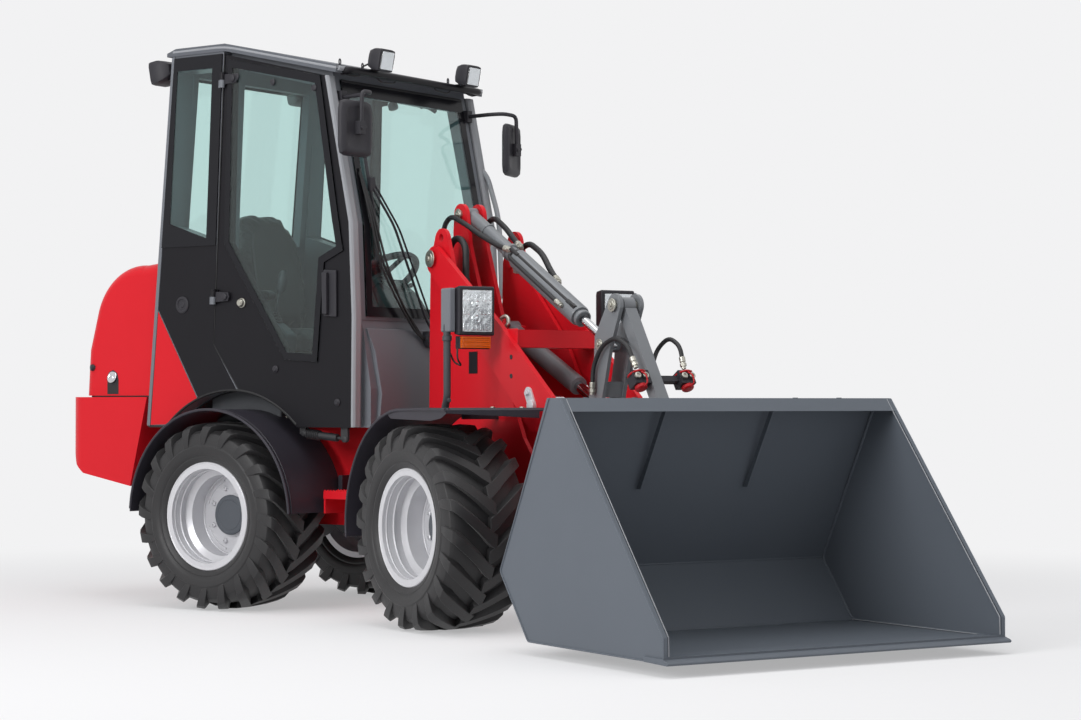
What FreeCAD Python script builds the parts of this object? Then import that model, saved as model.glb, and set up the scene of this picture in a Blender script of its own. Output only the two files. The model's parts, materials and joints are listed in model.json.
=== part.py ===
import FreeCAD, Part
import math
import os
import Sketcher

Vector = FreeCAD.Vector
Segment = Part.LineSegment

# Lengths in millimetres, angles in degrees.  x runs forward, y to the left, z up.
# Both half frames are laid out straight ahead from the steering pivot on the ground;
# the front half is then turned about the pivot by the steering angle.
SIZES = {
    # the whole machine
    "pivot_along": -421.6,
    "pivot_across": 464.8,
    "steer": -22.7,
    "wheelbase": 1470.0,
    "track": 920.0,
    "moving_gap": 5.5,
    "bearing_play": 0.08,
    # wheels
    "tyre_radius": 368.0,
    "tyre_width": 325.0,
    "crown_drop": 10.0,
    "shoulder_inset": 16.0,
    "sidewall_radius": 118.0,
    "rim_radius": 209.0,
    "rim_width": 285.0,
    "rim_flange": 8.0,
    "rim_seat_radius": 192.0,
    "rim_well_radius": 166.0,
    "rim_well_half": 50.0,
    "rim_sheet": 7.0,
    "disc_inset": 27.0,
    "disc_thickness": 12.0,
    "hub_radius": 85.0,
    "hub_length": 105.0,
    "hub_cap_radius": 78.0,
    "spindle_radius": 30.0,
    # axles
    "axle_tube_radius": 58.0,
    "diff_radius": 112.0,
    "drum_radius": 108.0,
    "drum_length": 77.0,
    "saddle_inner": 205.0,
    "saddle_outer": 240.0,
    "saddle_half": 90.0,
    # frames
    "frame_bottom": 430.0,
    "belly_bottom": 330.0,
    "plate": 16.0,
    "chassis_half": 230.0,
    "cab_bottom": 716.0,
    "lug_low_bottom": 342.0,
    "lug_high_bottom": 560.0,
    "lug_thickness": 30.0,
    "lug_radius": 75.0,
    "pivot_pin_radius": 30.0,
    "pivot_barrel_radius": 60.0,
    "chassis_rear": -1480.0,
    "weight_front": -1285.0,
    "chassis_front": -110.0,
    "cross_plate_at": -215.0,
    # rear body
    "body_half": 465.0,
    "hood_half": 440.0,
    "hood_wall": 6.0,
    "hood_round": 45.0,
    "hood_bottom": 840.0,
    "hood_top": 1385.0,
    "hood_rear": -1575.0,
    "weight_rear": -1650.0,
    "weight_top": 834.0,
    "weight_bottom": 471.0,
    "engine_length": 262.0,
    "engine_bottom": 450.0,
    "engine_height": 485.0,
    # cab
    "cab_wall": 40.0,
    "door_thickness": 40.0,
    "arch_radius": 489.0,
    "roof_thickness": 30.0,
    "glass": 6.0,
    "sheet": 5.0,
    "wheel_x": -365.0,
    "wheel_z": 1290.0,
    "wheel_lean": 35.0,
    "hinge_x": -792.0,
    "hinge_y": 480.0,
    "hinge_z": 1660.0,
    "hinge_lean": 3.0,
    "hinge_pin": 5.0,
    "hood_hinge_x": -1143.0,
    "hood_hinge_z": 1396.5,
    # fenders
    "rear_fender_radius": 412.0,
    "front_fender_radius": 413.0,
    "fender_inner": 292.0,
    "fender_outer": 622.0,
    # tower and boom
    "tower_outer": 170.5,
    "tower_inner": 45.5,
    "boom_pivot_x": 205.0,
    "boom_pivot_z": 1361.0,
    "boom_pin_radius": 25.0,
    "boom_plate": 20.0,
    "lift_pin_x": 930.0,
    "lift_pin_z": 800.0,
    "lift_base_x": 300.0,
    "lift_base_z": 1090.0,
    "lift_across": 100.0,
    "tilt_base_x": 155.0,
    "tilt_base_z": 1540.0,
    "lever_pivot_x": 1090.0,
    "lever_pivot_z": 740.0,
    "lever_mid_x": 1138.0,
    "lever_mid_z": 1016.0,
    "lever_top_x": 1230.0,
    "lever_top_z": 1153.0,
    "hitch_low_x": 1415.0,
    "hitch_low_z": 285.0,
    "hitch_high_x": 1574.0,
    "hitch_high_z": 602.0,
    "lever_plate": 14.0,
    "lever_half": 50.0,
    "link_half": 24.0,
    "tilt_barrel_radius": 27.0,
    # hoses
    "tower_hose_radius": 13.0,
    "tower_hose_across": -100.0,
    "tower_hose_rear": 162.3,
    "tower_hose_bend": 65.0,
    "tower_hose_top": 1440.0,
    "tower_hose_end": 1275.0,
    "tilt_hose_radius": 7.0,
    "tilt_hose_across": -22.0,
    "tilt_hose_first": 400.0,
    "tilt_hose_last": 850.0,
    # bucket
    "bucket_width": 1346.0,
    "bucket_plate": 8.0,
    "bucket_side": 12.0,
    "lip_height": 43.0,
    # steering cylinder
    "steer_base_x": -430.0,
    "steer_base_y": -150.0,
    "steer_rod_x": 72.0,
    "steer_rod_y": -135.0,
    "steer_height": 470.0,
}


class Size:
    """A number worked out from the sheet, with the expression that keeps it tied to the sheet."""

    def __init__(self, value, text):
        self.value = float(value)
        self.text = text

    def _with(self, other, sign, value):
        return Size(value, "(%s %s %s)" % (self.text, sign, text_of(other)))

    def __add__(self, other):
        return self._with(other, "+", self.value + value_of(other))

    def __sub__(self, other):
        return self._with(other, "-", self.value - value_of(other))

    def __mul__(self, other):
        return self._with(other, "*", self.value * value_of(other))

    def __truediv__(self, other):
        return self._with(other, "/", self.value / value_of(other))

    def __radd__(self, other):
        return as_size(other) + self

    def __rsub__(self, other):
        return as_size(other) - self

    def __rmul__(self, other):
        return as_size(other) * self

    def __neg__(self):
        return Size(-self.value, "(-1 * %s)" % self.text)


def value_of(number):
    """The plain value of a Size or a number."""
    return number.value if isinstance(number, Size) else float(number)


def text_of(number):
    """The expression of a Size or a number."""
    return number.text if isinstance(number, Size) else "(%r)" % float(number)


def as_size(number):
    """A number as a Size."""
    return number if isinstance(number, Size) else Size(number, text_of(number))


def sine(angle):
    """Sine of an angle in degrees."""
    return Size(math.sin(math.radians(value_of(angle))), "sin(%s * 1 deg)" % text_of(angle))


def cosine(angle):
    """Cosine of an angle in degrees."""
    return Size(math.cos(math.radians(value_of(angle))), "cos(%s * 1 deg)" % text_of(angle))


def root(square):
    """Square root."""
    return Size(math.sqrt(value_of(square)), "sqrt(%s)" % text_of(square))


def slope(rise, run):
    """Angle in degrees of a line with this rise over this run."""
    value = math.degrees(math.atan2(value_of(rise), value_of(run)))
    return Size(value, "(atan2(%s; %s) / 1 deg)" % (text_of(rise), text_of(run)))


def length(run, rise):
    """Length of a line with this run and rise."""
    return root(run * run + rise * rise)


class Sheet:
    """The spreadsheet of driving sizes; each one is read back as an attribute."""

    def __init__(self, doc):
        cells = doc.addObject("Spreadsheet::Sheet", "Sizes")
        for row, (name, value) in enumerate(SIZES.items(), start=1):
            cells.set("A%d" % row, name)
            cells.set("B%d" % row, repr(value))
            cells.setAlias("B%d" % row, name)
            setattr(self, name, Size(value, "Sizes." + name))
        doc.recompute()


doc = FreeCAD.newDocument("wheel_loader")
S = Sheet(doc)


class Arc:
    """Marks the side of an outline from one corner to the next as an arc of a circle."""

    def __init__(self, radius, clockwise=False):
        self.radius = radius
        self.clockwise = clockwise


class Circle:
    """A round outline or hole."""

    def __init__(self, x, y, radius):
        self.x = x
        self.y = y
        self.radius = radius


def rectangle(left, low, right, high):
    """The four corners of an upright rectangle."""
    return [(left, low), (right, low), (right, high), (left, high)]


def arc_between(start, end, arc):
    """A Part arc from start to end, and whether its own sense is reversed."""
    radius = value_of(arc.radius)
    dx, dy = end[0] - start[0], end[1] - start[1]
    chord = math.hypot(dx, dy)
    rise = math.sqrt(max(radius * radius - chord * chord / 4, 0.0))
    side = -1.0 if arc.clockwise else 1.0
    centre_x = (start[0] + end[0]) / 2 - side * dy / chord * rise
    centre_y = (start[1] + end[1]) / 2 + side * dx / chord * rise
    first = math.atan2(start[1] - centre_y, start[0] - centre_x)
    last = math.atan2(end[1] - centre_y, end[0] - centre_x)
    if arc.clockwise:
        first, last = last, first
    circle = Part.Circle(Vector(centre_x, centre_y, 0), Vector(0, 0, 1), radius)
    return Part.ArcOfCircle(circle, first, last if last > first else last + 2 * math.pi)


def draw(sketch, loop, closed=True):
    """Draw one outline or open path in a sketch and tie its corners to the sheet."""
    if isinstance(loop, Circle):
        centre = Vector(value_of(loop.x), value_of(loop.y), 0)
        index = sketch.addGeometry(Part.Circle(centre, Vector(0, 0, 1), value_of(loop.radius)))
        tie(sketch, [("Radius", (index,), loop.radius),
                     ("DistanceX", (-1, 1, index, 3), loop.x),
                     ("DistanceY", (-1, 1, index, 3), loop.y)])
        return
    corners = [item for item in loop if not isinstance(item, Arc)]
    spots = [(value_of(x), value_of(y)) for x, y in corners]
    arcs = {}
    for place, item in enumerate(loop):
        if isinstance(item, Arc):
            before = sum(1 for other in loop[:place] if not isinstance(other, Arc))
            arcs[before - 1] = item
    sides, ends = [], []
    count = len(spots)
    for number in range(count if closed else count - 1):
        start, end = spots[number], spots[(number + 1) % count]
        if number in arcs:
            sides.append(arc_between(start, end, arcs[number]))
            ends.append((2, 1) if arcs[number].clockwise else (1, 2))
        else:
            sides.append(Segment(Vector(start[0], start[1], 0), Vector(end[0], end[1], 0)))
            ends.append((1, 2))
    first = sketch.GeometryCount
    sketch.addGeometry(sides)
    sketch.addConstraint([
        Sketcher.Constraint("Coincident", first + i, ends[i][1],
                            first + (i + 1) % count, ends[(i + 1) % count][0])
        for i in range(count if closed else count - 2)])
    wanted = []
    for i, (x, y) in enumerate(corners):
        side, end = (i, ends[i][0]) if i < len(sides) else (i - 1, ends[i - 1][1])
        wanted.append(("DistanceX", (-1, 1, first + side, end), x))
        wanted.append(("DistanceY", (-1, 1, first + side, end), y))
    for i, arc in arcs.items():
        wanted.append(("Radius", (first + i,), arc.radius))
    tie(sketch, wanted)


def tie(sketch, wanted):
    """Add dimensions to a sketch and bind each one that comes from the sheet."""
    made = sketch.addConstraint([
        Sketcher.Constraint(kind, *places, value_of(size)) for kind, places, size in wanted])
    for index, (_kind, _places, size) in zip(made, wanted):
        if isinstance(size, Size):
            sketch.setExpression("Constraints[%d]" % index, size.text)


class Pose:
    """Where a piece's own origin lies: on the rear or the front half, moved and turned."""

    def __init__(self, half, x=0.0, y=0.0, z=0.0, turn=0.0, pitch=0.0):
        x, y, z = as_size(x), as_size(y), as_size(z)
        heading = S.steer if half == "front" else as_size(0.0)
        along = S.pivot_along + x * cosine(heading) - y * sine(heading)
        across = S.pivot_across + x * sine(heading) + y * cosine(heading)
        self.text = ("placement(vector(%s; %s; %s); rotation(vector(0; 0; 1); %s * 1 deg)"
                     " * rotation(vector(0; 1; 0); %s * 1 deg))"
                     % (along.text, across.text, z.text, (heading + turn).text,
                        as_size(pitch).text))


class Piece:
    """One sub-part: a body whose outlines lie on its own origin planes."""

    NORMAL_SIGN = {"XY": 1.0, "YZ": 1.0, "XZ": -1.0}

    def __init__(self, name, pose):
        self.name = name
        self.body = doc.addObject("PartDesign::Body", name)
        self.body.Label = name
        self.body.AllowCompound = True
        self.body.setExpression("Placement", pose.text)
        self.planes = {item.Role[:2]: item for item in self.body.Origin.OriginFeatures
                       if item.Role.endswith("_Plane")}
        self.count = 0

    def _name(self, kind):
        self.count += 1
        return "%s_%s_%d" % (self.name, kind, self.count)

    def sketch(self, plane, level, loops, tilt=None, closed=True):
        """A sketch on an origin plane at a level; tilt moves and pitches an XY sketch."""
        sketch = self.body.newObject("Sketcher::SketchObject", self._name("sketch"))
        sketch.AttachmentSupport = [(self.planes[plane], "")]
        sketch.MapMode = "FlatFace"
        shift = as_size(level) * self.NORMAL_SIGN[plane]
        if tilt:
            x, z, pitch = tilt
            sketch.setExpression("AttachmentOffset.Rotation",
                                 "rotation(vector(0; 1; 0); %s * 1 deg)" % text_of(pitch))
            sketch.setExpression("AttachmentOffset.Base.x", (x + shift * sine(pitch)).text)
            shift = z + shift * cosine(pitch)
        sketch.setExpression("AttachmentOffset.Base.z", shift.text)
        for loop in loops:
            draw(sketch, loop, closed)
        return sketch

    def _prism(self, kind, plane, loops, start, low, high, tilt=None):
        feature = self.body.newObject("PartDesign::" + kind, self._name(kind.lower()))
        feature.Profile = self.sketch(plane, start, loops, tilt)
        feature.setExpression("Length", (as_size(high) - low).text)
        self.body.Tip = feature
        return feature

    def pad(self, plane, loops, low, high, tilt=None):
        """Add a prism on an outline from low to high along the plane's axis."""
        start = high if plane == "XZ" else low
        return self._prism("Pad", plane, loops, start, low, high, tilt)

    def cut(self, plane, loops, low, high):
        """Cut a prism on an outline from low to high along the plane's axis."""
        doc.recompute()
        before = self.body.Shape.Volume
        start = low if plane == "XZ" else high
        feature = self._prism("Pocket", plane, loops, start, low, high)
        doc.recompute()
        if not self.body.Shape.Volume < before - 1.0:
            raise ValueError("%s cuts nothing" % feature.Name)
        return feature

    def both_sides(self, loops, inner, outer):
        """Pad the same side outline between two widths on the left and on the right."""
        self.pad("XZ", loops, inner, outer)
        self.pad("XZ", loops, -as_size(outer), -as_size(inner))

    def cut_both_sides(self, loops, inner, outer):
        """Cut the same side outline between two widths on the left and on the right."""
        self.cut("XZ", loops, inner, outer)
        self.cut("XZ", loops, -as_size(outer), -as_size(inner))

    def turn(self, plane, loops, axis="H_Axis"):
        """Turn an outline round one of its sketch's axes."""
        feature = self.body.newObject("PartDesign::Revolution", self._name("turn"))
        feature.Profile = self.sketch(plane, 0.0, loops)
        feature.ReferenceAxis = (feature.Profile[0], [axis])
        feature.Angle = 360.0
        self.body.Tip = feature
        return feature

    def pipe(self, path, across, plane, start, ring):
        """Sweep a ring, drawn on a plane at a level, along a path at one width."""
        spine = self.sketch("XZ", across, [path], closed=False)
        feature = self.body.newObject("PartDesign::AdditivePipe", self._name("pipe"))
        feature.Profile = self.sketch(plane, start, [ring])
        sides = sum(1 for item in path if not isinstance(item, Arc)) - 1
        feature.Spine = (spine, ["Edge%d" % number for number in range(1, sides + 1)])
        self.body.Tip = feature
        doc.recompute()
        spots = [item for item in path if not isinstance(item, Arc)]
        bends = [value_of(item.radius) for item in path if isinstance(item, Arc)]
        swept = math.pi * value_of(ring.radius) ** 2 * spine.Shape.Length
        print(self.name, "radii", bends, "points", len(spots),
              "volume over section by length", round(self.body.Shape.Volume / swept, 5))
        return feature

    def round_edges(self, radius, wanted):
        """Round the edges that a test picks from the body as it stands."""
        doc.recompute()
        base = self.body.Tip
        names = ["Edge%d" % number
                 for number, edge in enumerate(base.Shape.Edges, start=1) if wanted(edge)]
        feature = self.body.newObject("PartDesign::Fillet", self._name("round"))
        feature.Base = (base, names)
        feature.setExpression("Radius", as_size(radius).text)
        self.body.Tip = feature
        return feature


def corner_edges(plane, *corners):
    """A test for edges square to a plane that pass through one of its given corners."""
    first, second, along = {"XY": (0, 1, 2), "XZ": (0, 2, 1), "YZ": (1, 2, 0)}[plane]

    def test(edge):
        ends = [vertex.Point for vertex in edge.Vertexes]
        if not isinstance(edge.Curve, Part.Line):
            return False
        if abs((ends[0] - ends[1])[along]) < 0.9 * edge.Length:
            return False
        return any(all(abs(end[first] - value_of(x)) < 0.5 and abs(end[second] - value_of(y)) < 0.5
                       for end in ends) for x, y in corners)
    return test


def chord_end(radius, offset):
    """Half the chord of a circle at an offset from its centre."""
    offset = as_size(offset)
    return root(radius * radius - offset * offset)


AXLE = S.wheelbase / 2


# ---------------------------------------------------------------- wheels and axles

def tyre(name, pose):
    """A tyre as the turned outline of its casing and crown."""
    piece = Piece(name, pose)
    bead = S.rim_width / 2 - S.rim_flange
    shoulder = S.tyre_width / 2 - S.shoulder_inset
    crown_edge = S.tyre_radius - S.crown_drop
    crown = (shoulder * shoulder + S.crown_drop * S.crown_drop) / (2 * S.crown_drop)
    piece.turn("YZ", [[
        (-bead, S.rim_seat_radius), (bead, S.rim_seat_radius), (bead, S.rim_radius + 5),
        Arc(S.sidewall_radius), (shoulder, crown_edge),
        Arc(crown), (-shoulder, crown_edge),
        Arc(S.sidewall_radius), (-bead, S.rim_radius + 5)]])
    return piece


def rim(name, pose):
    """A deep rim with its disc, hub and cap in one turned outline."""
    piece = Piece(name, pose)
    edge = S.rim_width / 2
    bead = edge - S.rim_flange
    seat, well, half = S.rim_seat_radius, S.rim_well_radius, S.rim_well_half
    seat_in, well_in = seat - S.rim_sheet, well - S.rim_sheet
    disc_back, disc_front = -S.disc_inset, S.disc_thickness - S.disc_inset
    bore = S.spindle_radius + S.bearing_play
    hub_front = disc_front + 9
    hub_back = hub_front + 1 - S.hub_length
    cap_front = hub_front + 8
    piece.turn("YZ", [[
        (edge, seat_in), (edge, S.rim_radius), (bead, S.rim_radius), (bead, seat),
        (half + 12, seat - 2), (half, well), (-half, well), (-half - 12, seat - 2),
        (-bead, seat), (-bead, S.rim_radius), (-edge, S.rim_radius), (-edge, seat_in),
        (-half - 16, seat_in - 2), (-half - 4, well_in), (disc_back, well_in),
        (disc_back, S.hub_radius), (hub_back, S.hub_radius), (hub_back, bore),
        (disc_back - 8, bore), (disc_back - 8, 0.0), (cap_front, 0.0),
        (cap_front, S.hub_cap_radius), (hub_front, S.hub_cap_radius), (hub_front, S.hub_radius),
        (disc_front, S.hub_radius), (disc_front, well_in), (half + 4, well_in),
        (half + 16, seat_in - 2)]])
    return piece


def axle(name, pose):
    """A rigid axle: tube, differential, drums and spindles, with saddles under the frame."""
    piece = Piece(name, pose)
    tube = S.axle_tube_radius
    drum_out = S.track / 2 - S.hub_length - S.disc_inset + S.disc_thickness + 4.5
    drum_in = drum_out - S.drum_length
    spindle_end = S.track / 2 - S.disc_inset - 10
    half = [(spindle_end, 0.0), (spindle_end, S.spindle_radius), (drum_out, S.spindle_radius),
            (drum_out, S.drum_radius), (drum_in, S.drum_radius), (drum_in, tube),
            (150.0, tube), (70.0, S.diff_radius)]
    piece.turn("YZ", [half + [(-x, y) for x, y in reversed(half)]])
    top = S.frame_bottom - S.tyre_radius
    pad = rectangle(-S.saddle_half, tube * 0.6, S.saddle_half, top)
    piece.both_sides([pad], S.saddle_inner, S.saddle_outer)
    return piece


def wheels():
    """Four tyres and rims, each with its outer face outwards."""
    made = []
    for half, sense in (("rear", -1.0), ("front", 1.0)):
        for side, outward, turn in (("left", 1.0, 0.0), ("right", -1.0, 180.0)):
            pose = Pose(half, sense * AXLE, outward * S.track / 2, S.tyre_radius, turn)
            made.append(tyre("%s_tyre_%s" % (half, side), pose))
            made.append(rim("%s_rim_%s" % (half, side), pose))
    made.append(axle("rear_axle", Pose("rear", -AXLE, 0.0, S.tyre_radius)))
    made.append(axle("front_axle", Pose("front", AXLE, 0.0, S.tyre_radius)))
    return made


# ---------------------------------------------------------------- rear frame

def rear_chassis():
    """Two side plates joined by cross plates, with the pivot lugs in front."""
    piece = Piece("rear_chassis", Pose("rear"))
    inner = S.chassis_half - S.plate
    rear, front, cross = S.chassis_rear, S.chassis_front, S.cross_plate_at
    side = [(rear, 490.0), (rear + 180, S.frame_bottom), (-600.0, S.frame_bottom),
            (-520.0, S.belly_bottom), (front, S.belly_bottom), (front, S.cab_bottom),
            (rear + 290, S.cab_bottom), (rear + 250, 640.0), (rear, 640.0)]
    piece.both_sides([side], inner, S.chassis_half)
    piece.pad("YZ", [rectangle(-inner, S.belly_bottom, inner, S.cab_bottom)],
              cross, cross + S.plate)
    piece.pad("YZ", [rectangle(-inner, 500.0, inner, 640.0)], rear, rear + S.plate)
    piece.pad("XY", [rectangle(-520.0, -inner, cross, inner)],
              S.belly_bottom, S.belly_bottom + 12)
    around = S.steer_height
    piece.cut("YZ", [rectangle(-195.0, around - 45, -75.0, around + 45)],
              cross - 5, cross + S.plate + 5)
    bx, by = S.steer_base_x, S.steer_base_y
    for low in (around - 34, around + 22):
        piece.pad("XY", [[(bx - 35, -inner), (bx + 20, -inner), (bx + 20, by), Arc(22.0),
                          (bx - 20, by)]], low, low + 12)
    piece.pad("XY", [Circle(bx, by, 16.0)], around - 30, around + 30)
    neck = chord_end(S.lug_radius, 20.0)
    lug = [(cross + S.plate, -130.0), (-20.0, -neck), Arc(S.lug_radius), (-20.0, neck),
           (cross + S.plate, 130.0)]
    hole = Circle(0.0, 0.0, S.pivot_pin_radius + S.bearing_play)
    for bottom in (S.lug_low_bottom, S.lug_high_bottom):
        piece.pad("XY", [lug, hole], bottom, bottom + S.lug_thickness)
    return piece


def engine():
    """The engine as a plain block between the side plates."""
    piece = Piece("engine", Pose("rear"))
    rear = S.chassis_rear + S.plate + 4
    half = S.chassis_half - S.plate
    piece.pad("XZ", [rectangle(rear, S.engine_bottom, rear + S.engine_length,
                               S.engine_bottom + S.engine_height)], -half, half)
    return piece


def counterweight():
    """The cast weight that closes the rear end and wraps round the side plates."""
    piece = Piece("counterweight", Pose("rear"))
    rear, top, low = S.weight_rear, S.weight_top, S.weight_bottom
    front = S.weight_front
    piece.pad("XZ", [[(front, low), (front + 93, top), (rear, top), (rear + 8, 650.0),
                      (rear + 50, 555.0), (rear + 95, 520.0)]], -S.body_half, S.body_half)
    for sign in (1.0, -1.0):
        half = S.body_half * sign
        piece.cut("XY", [[(rear, half - 85 * sign), Arc(85.0, clockwise=sign > 0),
                          (rear + 85, half), (rear + 85, half + 5 * sign),
                          (rear - 5, half + 5 * sign), (rear - 5, half - 85 * sign)]],
                  low - 5, top + 5)
    space = S.chassis_half
    piece.cut("XY", [rectangle(S.chassis_rear, -space, front + 120, space)], low - 5, top + 5)
    piece.cut("XY", [rectangle(rear - 10, -70.0, rear + 110, 70.0)], low - 5, 600.0)
    return piece


def is_rear_side_edge(edge, limit, half):
    """Whether an edge lies along one side with its middle behind a limit, and is not the sill."""
    ends = [vertex.Point for vertex in edge.Vertexes]
    at_side = all(abs(abs(end.y) - value_of(half)) < 0.5 for end in ends)
    same_side = all(end.y * ends[0].y > 0 for end in ends)
    above = max(end.z for end in ends) > value_of(S.hood_bottom) + 5
    return at_side and same_side and above and edge.CenterOfMass.x < value_of(limit)


def tow_hitch():
    """The jaw in the counterweight: two flat plates on a back plate."""
    piece = Piece("tow_hitch", Pose("rear"))
    back = S.weight_rear + 110
    piece.pad("YZ", [rectangle(-55.0, 485.0, 55.0, 595.0)], back - 15, back)
    jaw = [(back - 15, -45.0), (back - 15, 45.0), (back - 70, 45.0),
           Arc(48.0), (back - 70, -45.0)]
    hole = Circle(back - 70, 0.0, 14.0)
    for bottom in (495.0, 570.0):
        piece.pad("XY", [jaw, hole], bottom, bottom + 14)
    return piece


def engine_hood():
    """The hood: side outline padded across, hollowed, open below and in front."""
    piece = Piece("engine_hood", Pose("rear"))
    bottom, top, rear, wall = S.hood_bottom, S.hood_top, S.hood_rear, S.hood_wall
    front_low, front_high = -1184.0, -1135.0
    outline = [(front_low, bottom), (front_high, top), (front_high - 110, top - 12),
               Arc(260.0), (rear + 55, 1180.0), (rear + 12, 1030.0), (rear, bottom)]
    piece.pad("XZ", [outline], -S.hood_half, S.hood_half)
    inner = [(front_low + 20, bottom - 5), (front_high + 20, top - wall - 2),
             (front_high - 110, top - 12 - wall), Arc(255.0),
             (rear + 55 + wall, 1180.0), (rear + 12 + wall, 1030.0), (rear + wall, bottom - 5)]
    space = S.hood_half - wall
    piece.cut("XZ", [inner], -space, space)
    piece.round_edges(S.hood_round - wall,
                      lambda edge: is_rear_side_edge(edge, front_low + 9, space))
    piece.round_edges(S.hood_round,
                      lambda edge: is_rear_side_edge(edge, front_low + 9, S.hood_half))
    hole = Circle(S.hood_hinge_x, S.hood_hinge_z, S.hinge_pin + S.bearing_play)
    for sign in (1.0, -1.0):
        across = sorted((sign * 271.0, sign * 295.0))
        piece.pad("XZ", [rectangle(S.hood_hinge_x - 8, top - 4, S.hood_hinge_x + 6,
                                   S.hood_hinge_z - 6)], *across)
        piece.pad("XZ", [Circle(S.hood_hinge_x, S.hood_hinge_z, 10.0), hole], *across)
    return piece


# ---------------------------------------------------------------- cab

FRONT_LINE = ((-115.0, 716.0), (-112.0, 1141.0), (-128.0, 1500.0), (-245.0, 2060.0))
REAR_LOW, REAR_HIGH = (-1185.0, 716.0), (-1050.0, 2205.0)
ROOF_BREAK = (-765.0, 2205.0)
ROOF_FRONT = (-251.0, 2090.0)


def arch_side(radius, level):
    """How far a wheel arch of this radius reaches fore and aft of the axle at a level."""
    return chord_end(radius, as_size(level) - S.tyre_radius)


def side_shape(radius):
    """The cab's side outline with the wheel arch cut out at a radius."""
    reach = arch_side(radius, S.cab_bottom)
    return [(REAR_LOW[0], S.cab_bottom), (-AXLE - reach, S.cab_bottom), Arc(radius, clockwise=True),
            (-AXLE + reach, S.cab_bottom), (FRONT_LINE[0][0], S.cab_bottom)] + \
        list(FRONT_LINE[1:]) + [ROOF_FRONT, ROOF_BREAK, REAR_HIGH]


def cab_frame():
    """The welded cab: hollow inside, with door openings, windows and rear side panels."""
    piece = Piece("cab_frame", Pose("rear"))
    half = S.body_half - S.door_thickness - 5
    wall = S.cab_wall
    arch = S.arch_radius + S.sheet
    piece.pad("XZ", [side_shape(arch)], -half, half)
    inside = [(REAR_LOW[0] + wall, S.cab_bottom - 5), (FRONT_LINE[0][0] - wall, S.cab_bottom - 5)] + \
        [(x - wall, z) for x, z in FRONT_LINE[1:3]] + \
        [(FRONT_LINE[3][0] - wall, FRONT_LINE[3][1] - wall),
         (ROOF_BREAK[0], ROOF_BREAK[1] + 10), (REAR_HIGH[0] + wall, REAR_HIGH[1] + 10)]
    space = half - wall
    piece.cut("XZ", [inside], -space, space)
    panel_reach = arch_side(S.arch_radius, S.cab_bottom)
    seam_low = S.tyre_radius + chord_end(S.arch_radius, 43.0)
    panel = [(REAR_LOW[0], S.cab_bottom), (-AXLE - panel_reach, S.cab_bottom),
             Arc(S.arch_radius, clockwise=True), (-AXLE + 43.0, seam_low),
             (-828.0, 1040.0), (-774.0, 2205.0), REAR_HIGH]
    piece.both_sides([panel], half, S.body_half)
    door_hole = [(-385.0, 752.0), (-175.0, 752.0), (-175.0, 1245.0), (-195.0, 1500.0),
                 (-305.0, 2035.0), (-735.0, 2135.0), (-788.0, 1060.0), (-640.0, 905.0),
                 (-480.0, 830.0)]
    piece.cut_both_sides([door_hole], space - 5, half + 5)
    window = [(-1062.0, 1525.0), (-1020.0, 2140.0), (-834.0, 2140.0), (-866.0, 1462.0)]
    piece.cut_both_sides([window], space - 5, S.body_half + 5)
    piece.cut("YZ", [rectangle(-345.0, 1180.0, 345.0, 2010.0)], -300.0, -60.0)
    piece.cut("YZ", [rectangle(-345.0, 1480.0, 345.0, 2130.0)], -1190.0, -1000.0)
    for level in HINGE_LEVELS:
        for sign in (1.0, -1.0):
            hinge_leaf(piece, sign, -1.0, level - 30, level, [])
            piece.pad("XY", [Circle(0.0, S.hinge_y * sign, S.hinge_pin)], level - 5, level + 28,
                      (S.hinge_x, S.hinge_z, S.hinge_lean))
    piece.pad("YZ", [rectangle(-405.0, S.cab_bottom, 405.0, 1128.0)], -118.0, -72.0)
    piece.cut("XZ", [[(-71.0, 715.0), (-71.0, 860.0), (-116.0, 1129.0), (-60.0, 1129.0),
                      (-60.0, 715.0)]], -406.0, 406.0)
    knuckle = Circle(S.hood_hinge_x, S.hood_hinge_z, 10.0)
    arm = rectangle(S.hood_hinge_x + 3, S.hood_hinge_z - 6, -1118.0, S.hood_hinge_z + 6)
    for sign in (1.0, -1.0):
        piece.pad("XZ", [arm], *sorted((sign * 250.0, sign * 270.0)))
        piece.pad("XZ", [knuckle], *sorted((sign * 250.0, sign * 270.0)))
        piece.pad("XZ", [Circle(S.hood_hinge_x, S.hood_hinge_z, S.hinge_pin)],
                  *sorted((sign * 260.0, sign * 295.0)))
    return piece


HINGE_LEVELS = (-430.0, 430.0)


def hinge_leaf(piece, sign, forward, low, high, holes):
    """Half of a door hinge on the leaning hinge line: a knuckle with a leaf on the outer face."""
    tilt = (S.hinge_x, S.hinge_z, S.hinge_lean)
    face, top = S.body_half * sign, (S.body_half + 8) * sign
    end = 15.0 if forward > 0 else -26.0
    root_x = 4.0 * forward
    leaf = [(root_x, face), (end, face), (end, top), (root_x, top)]
    piece.pad("XY", [leaf], low, high, tilt)
    piece.pad("XY", [Circle(0.0, S.hinge_y * sign, 10.0)] + holes, low, high, tilt)


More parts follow.
